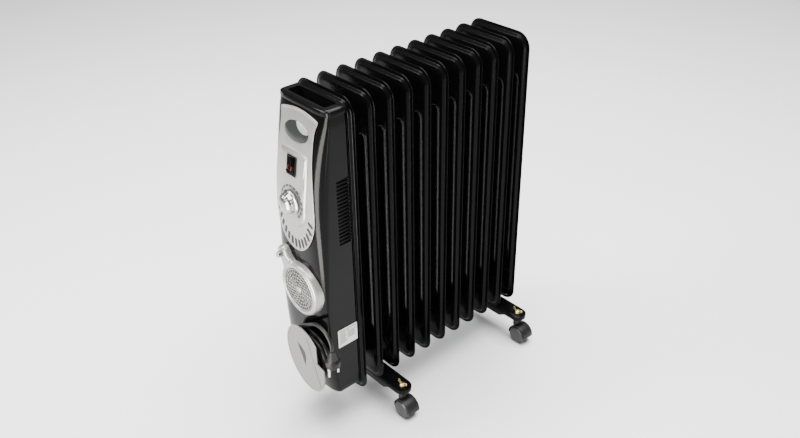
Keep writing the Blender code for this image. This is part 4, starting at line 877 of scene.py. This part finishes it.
def dial_and_knob():
    """Printed dashes that thicken round the dial, and a fluted chrome knob."""
    bm = bmesh.new()
    brick(bm, (-0.0011, -0.00015, -0.0038), (0.0011, 0.0002, 0.0038))
    unit = closed_mesh("dash", bm)
    mesh = repeated(RING, unit, INK, Count=14, Radius=DIAL_R - 0.0015, Start=math.radians(214),
                    Step=-math.radians(20.0), Grow=0.11)
    shaped(mesh, lambda p: p + np.array([0, 0, KNOB_Z]))
    draped(mesh, PANEL_PROUD + TONGUE_PROUD + 0.00002)
    place("dial_dashes", mesh, INK, "heater", "black_matt_plastic")

    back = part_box("thermostat_knob")[1].y
    profile = [(KNOB_R - 0.0022, 0.0004), (KNOB_R - 0.0004, 0.0), (KNOB_R, 0.0006),
               (KNOB_R, 0.0016), (KNOB_R - 0.0008, 0.0026), (0.0192, 0.0032),
               (0.0186, 0.0040), (0.0181, 0.0062),
               (0.0174, 0.0086), (0.0162, 0.0110), (0.0144, 0.0130), (0.0118, 0.0147),
               (0.0084, 0.0160), (0.0044, 0.0168), (0.0, 0.0170)]
    flutes = [0, 0, 0, 0, 0, 0.01, 0.02, 0.03, 0.03, 0.04, 0.04, 0.04, 0.03, 0.02, 0]

    def wobble(row, angle):
        return 1.0 - flutes[row] * (0.5 + 0.5 * math.cos(12 * angle)) ** 2

    bm = lathe(bmesh.new(), profile, (0, back, KNOB_Z), (0, -1, 0), 144, wobble)
    place("chrome_knob", bm, CHROME, "thermostat", "chrome", "thermostat_knob", crease=50)


def switch_pair():
    """Switch frame and rockers with broken edges, and the red marks on the rockers."""
    edged("switch_bezel", GLOSS_ABS, "black_gloss_plastic", 0.4)
    for name in ("left", "right"):
        node = "rocker_" + name
        edged(node, GLOSS_ABS, "black_gloss_plastic", 0.35)
        low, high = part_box(node)
        x = (low.x + high.x) / 2
        z = low.z + (high.z - low.z) * 0.33
        y = low.y + 0.0022
        tilt = Matrix.Translation((x, y, z)) @ Matrix.Rotation(math.radians(-20), 4, "X")
        bm = bmesh.new()
        brick(bm, (-0.0013, -0.0003, -0.0034), (0.0013, 0.0010, 0.0034), tilt)
        mesh = worked(closed_mesh("mark", bm), edge(0.3, 2))
        place("red_mark_" + name, mesh, RED, node, "black_gloss_plastic")


# ---------------------------------------------------------------- fan heater
def fan_heater():
    """Pear-shaped silver body with a rounded ring, and a grille of swirling vanes."""
    axis = Vector((FAN_EAR_X - FAN_X, FAN_EAR_Z - FAN_Z))
    reach = math.degrees(math.atan2(axis.y, axis.x))

    def pear(inset):
        """A round body and a small round ear, joined by a waisted neck."""
        r, e, neck = FAN_R - inset, FAN_EAR_R - 0.0015 - inset, 0.0098 - inset
        a, b = math.degrees(math.asin(neck / r)) + 7, math.degrees(math.asin(neck / e))
        return (arc(FAN_X, FAN_Z, r, reach + a, reach - a + 360, 64)
                + arc(FAN_EAR_X, FAN_EAR_Z, e, reach - 180 + b + 12, reach + 180 - b - 12, 24))

    outline = pear(0.0)
    bore = arc(FAN_X, FAN_Z, FAN_BORE, 0, 360, 72)[:-1]
    rings = [arc(FAN_X, FAN_Z, r, 0, 360, 72)[:-1] for r in (0.0395, 0.0406, 0.0416, 0.0440)]
    inside = [pear(d) for d in (0.0008, 0.0020, 0.0038)]
    hole = arc(FAN_EAR_X, FAN_EAR_Z, 0.0054, 0, 360, 28)[:-1]
    bm = flat_sheet(outline, [bore, hole], 0.0030, rings + inside)
    rim = [e for e in bm.edges if e.is_boundary]
    made = bmesh.ops.extrude_edge_only(bm, edges=rim)["geom"]
    walls = [v for v in made if isinstance(v, bmesh.types.BMVert)]
    fronts = [v for v in bm.verts if v not in set(walls)]
    spots = np.array([(v.co.x, v.co.z) for v in fronts])
    depth = depth_in(outline, spots)
    from_axis = np.hypot(spots[:, 0] - FAN_X, spots[:, 1] - FAN_Z)
    drop = 0.0052 * (1 - np.sqrt(1 - np.clip(1 - depth / 0.0052, 0, 1) ** 2))
    drop += 0.0010 * (1 - step(0.0, 0.0009, abs(from_axis - 0.0406)))
    drop += 0.0012 * (1 - step(FAN_BORE, 0.0398, from_axis))
    for vertex, lower in zip(fronts, drop):
        vertex.co.y = ahead(FAN_FRONT) + lower
    for vertex in walls:
        vertex.co.y = ahead(0.055)
    place("fan_body", closed_mesh("fan_body", bm, 1e-6), PEARL, "heater", "silver_lacquer",
          "fan_housing", crease=48)

    # Five bands joined by slanted vanes; each ring of vanes is one repeat.
    parts = []
    for number, (low, high) in enumerate(zip(GRILLE_RADII, GRILLE_RADII[1:])):
        bm = bmesh.new()
        half = (high - low) * 0.62
        brick(bm, (-half, -0.0014, -0.0005), (half, -0.0005, 0.0005),
              Matrix.Rotation(math.radians(34), 4, "Y"))
        unit = worked(closed_mesh("vane", bm), edge(0.3, 1))
        count = 8 + 6 * number
        parts.append(repeated(RING, unit, PEARL, Count=count, Radius=(low + high) / 2, Start=0.0,
                              Step=2 * math.pi / count, Grow=0.0))
    bm = bmesh.new()
    for part in parts:
        bm.from_mesh(part)
    turns = [2 * math.pi * k / 64 for k in range(64)]
    for radius in GRILLE_RADII[1:]:
        section = [(-0.0005, 0.0006), (-0.0005, 0.0014), (-0.0003, 0.0017), (0.0003, 0.0017),
                   (0.0005, 0.0014), (0.0005, 0.0006)]
        rings = [[bm.verts.new(((radius + out) * math.cos(t), -rise, (radius + out) * math.sin(t)))
                  for t in turns] for out, rise in section]
        for a, b in zip(rings, rings[1:] + rings[:1]):
            for k in range(64):
                bm.faces.new((a[k], a[(k + 1) % 64], b[(k + 1) % 64], b[k]))
    lathe(bm, [(0.0062, 0.0), (0.0062, 0.0014), (0.0054, 0.0020), (0.0, 0.0024)], (0, 0, 0),
          (0, -1, 0))
    mesh = closed_mesh("grille", bm, 1e-7)
    shaped(mesh, lambda p: p + np.array([FAN_X, ahead(FAN_FRONT) + 0.0022, FAN_Z]))
    # Painted shade: a dark matt disc just behind the grille stands in for the shade inside the fan,
    # so the gaps between the vanes read black.
    shade_disc = lathe(bmesh.new(), [(0.0379, 0.0), (0.0379, 0.0003), (0.0, 0.0003)],
                  (FAN_X, ahead(FAN_FRONT) + 0.0021, FAN_Z), (0, -1, 0), 64)
    place("grille_gauze", shade_disc, MATT_PP, "heater", "black_matt_plastic")
    place("swirl_grille", mesh, PEARL, "heater", "silver_lacquer", "fan_grille", crease=40)
    edged("fan_button", CHROME, "silver_lacquer", 0.8, 3)


# ---------------------------------------------------------------- cord reel
def reel():
    """The reel's disc with its notch, crescent slot and groove, on its hub and base; the groove and
    the shade in the slot are painted as dark pieces.
    """
    def rim(inset):
        r = REEL_PLATE_R - inset
        a0 = math.degrees(math.asin((REEL_NOTCH_Z - inset) / r))
        a1 = math.degrees(math.acos((REEL_NOTCH_X - inset) / r)) - 360
        return arc(0, 0, r, a0, a1, 80) + [(REEL_NOTCH_X - inset, REEL_NOTCH_Z - inset)]

    low, high = SLOT_ENDS
    there, back = ([tuple(low * (1 - t) ** 2 + Vector(pull) * 2 * t * (1 - t) + high * t * t)
                    for t in (k / 14 for k in range(15))] for pull in SLOT_PULLS)
    finger = there[:-1] + back[:0:-1]
    mesh = plate(flat_sheet(rim(0.0), [finger], 0.0034, [rim(0.0026), rim(0.0042)]),
                 REEL_PLATE_THICK, edge(0.8, 3, 60))
    seat = (Matrix.Translation((REEL_X, ahead(REEL_PLATE_AT), REEL_Z))
            @ Matrix.Rotation(-math.radians(REEL_TURN), 4, "Z"))

    def lift(p):
        spots = p[:, [0, 2]]
        depth = depth_in(rim(0.0), spots)
        p[:, 1] -= REEL_PLATE_THICK / 2
        front = p[:, 1] < 0
        p[front, 1] += 0.0006 * step(0.0026, 0.0042, depth[front])
        return p
    shaped(mesh, lift)
    mesh.transform(seat)
    # Painted shade: a dark matt fill set into the crescent slot, just behind the disc's front,
    # stands in for the shade through the hole.
    shade_fill = plate(flat_sheet(finger, (), 0.004), 0.0012)
    shade_fill.transform(seat @ Matrix.Translation((0.0, 0.0010 - REEL_PLATE_THICK / 2, 0.0)))
    place("slot_inlay", shade_fill, MATT_PP, "heater", "black_matt_plastic")
    place("reel_disc", mesh, PEARL_GREY, "heater", "silver_lacquer", "reel_plate", crease=40)
    # Painted shade: the groove is a thin dark strip laid on the disc's face in the ink finish, not
    # cut in.
    groove = bmesh.new()
    brick(groove, (0.0, -0.0001, -0.0010), (0.094, 0.0001, 0.0010),
          seat @ Matrix.Translation((0.0100, -REEL_PLATE_THICK / 2 + 0.00055, 0.0520))
          @ Matrix.Rotation(math.radians(66), 4, "Y"))
    place("reel_groove", groove, INK, "heater", "black_matt_plastic")
    edged("reel_hub", MATT_PP, "black_matt_plastic", 0.5)
    edged("reel_base", MATT_PP, "black_matt_plastic", 0.6)


# ---------------------------------------------------------------- label, screws
def rating_label():
    """White film with blank printed bars, no lettering."""
    edged("rating_label", FILM, "white_film", 0.05, 1)
    low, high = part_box("rating_label")
    bm = bmesh.new()
    wide, tall = high.y - low.y, high.z - low.z
    x = high.x
    fields = [(0.08, 0.90, 0.40, 0.94), (0.08, 0.80, 0.62, 0.83), (0.46, 0.88, 0.92, 0.92)]
    fields += [(0.08, 0.70 - 0.085 * k, 0.36 + 0.05 * (k % 3), 0.735 - 0.085 * k) for k in range(7)]
    fields += [(0.50, 0.70 - 0.085 * k, 0.90 - 0.06 * (k % 2), 0.735 - 0.085 * k) for k in range(5)]
    for y0, z0, y1, z1 in fields:
        brick(bm, (x - 0.00001, low.y + wide * y0, low.z + tall * z0),
              (x + 0.00006, low.y + wide * y1, low.z + tall * z1))
    place("label_fields", closed_mesh("label_fields", bm, 1e-7), INK, "heater", "white_film")


def screw_unit():
    """A pan head screw with a cross recess, looking to -Y."""
    bm = lathe(bmesh.new(), [(0.0030, 0.0), (0.0031, 0.0005), (0.0028, 0.0012), (0.0020, 0.0017),
                             (0.0, 0.0019)], (0, 0, 0), (0, -1, 0), 20)
    return closed_mesh("screw", bm)


def screws():
    """Fixings down the two edges of the box's back plate."""
    unit = screw_unit()
    bm = bmesh.new()
    for side in (-1, 1):
        mesh = repeated(ROW, unit.copy(), ZINC, Count=4, Pitch=(0.0, 0.0, 0.150))
        shaped(mesh, lambda p: p * np.array([1, -1, 1])
               + np.array([side * 0.052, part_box("box_back_plate")[1].y, 0.115]))
        bm.from_mesh(mesh)
    place("box_screws", closed_mesh("box_screws", bm, 1e-7), ZINC, "heater", "zinc_plated_steel")


camera()
mains_lead()
pressed_fins()
box_shell()
control_panel()
dial_and_knob()
switch_pair()
fan_heater()
reel()
rating_label()
screws()
edged("top_cap", GLOSS_ABS, "black_gloss_plastic", 0.9, 3)
for where in ("front", "rear"):
    edged("foot_bracket_" + where, ENAMEL, "black_enamel", 0.7)
    edged("foot_clamp_" + where, ZINC, "zinc_plated_steel", 0.4)
    for side in ("left", "right"):
        edged(f"castor_fork_{where}_{side}", MATT_PP, "black_matt_plastic", 0.5)
        edged(f"castor_wheel_{where}_{side}", TREAD, "black_rubber", 1.0, 3)
        edged(f"wing_nut_{where}_{side}", YELLOW_ZINC, "zinc_plated_steel", 0.4)
for node, coat, slot in (("box_back_plate", ENAMEL, "black_enamel"),
                         ("element_flange", YELLOW_ZINC, "brass"),
                         ("oil_filler_plug", ZINC, "zinc_plated_steel"),
                         ("thermostat_shaft", ZINC, "zinc_plated_steel"),
                         ("thermostat_body", ZINC, "zinc_plated_steel"),
                         ("ptc_heater", ALUMINIUM, "aluminium_fins"),
                         ("fan_motor", ZINC, "zinc_plated_steel"),
                         ("impeller", MATT_PP, "black_matt_plastic"),
                         ("heating_element", ZINC, "zinc_plated_steel")):
    held = frame["nodes"][node]
    for index in range(len(held.material_slots)):
        held.material_slots[index].material = coat
    if not held.material_slots:
        held.data.materials.append(coat)

floor = bpy.data.meshes.new("floor")
floor.from_pydata([(-6, -6, 0), (6, -6, 0), (6, 6, 0), (-6, 6, 0)], [], [(0, 1, 2, 3)])
floor.materials.append(finish_of("pale studio floor", "#f6f6f6", "#f1f1f1", 0.6, patch_mm=400,
                                 grain_mm=5, bump=0.02))
floor = bpy.data.objects.new("floor", floor)
bpy.context.scene.collection.objects.link(floor)
lights()
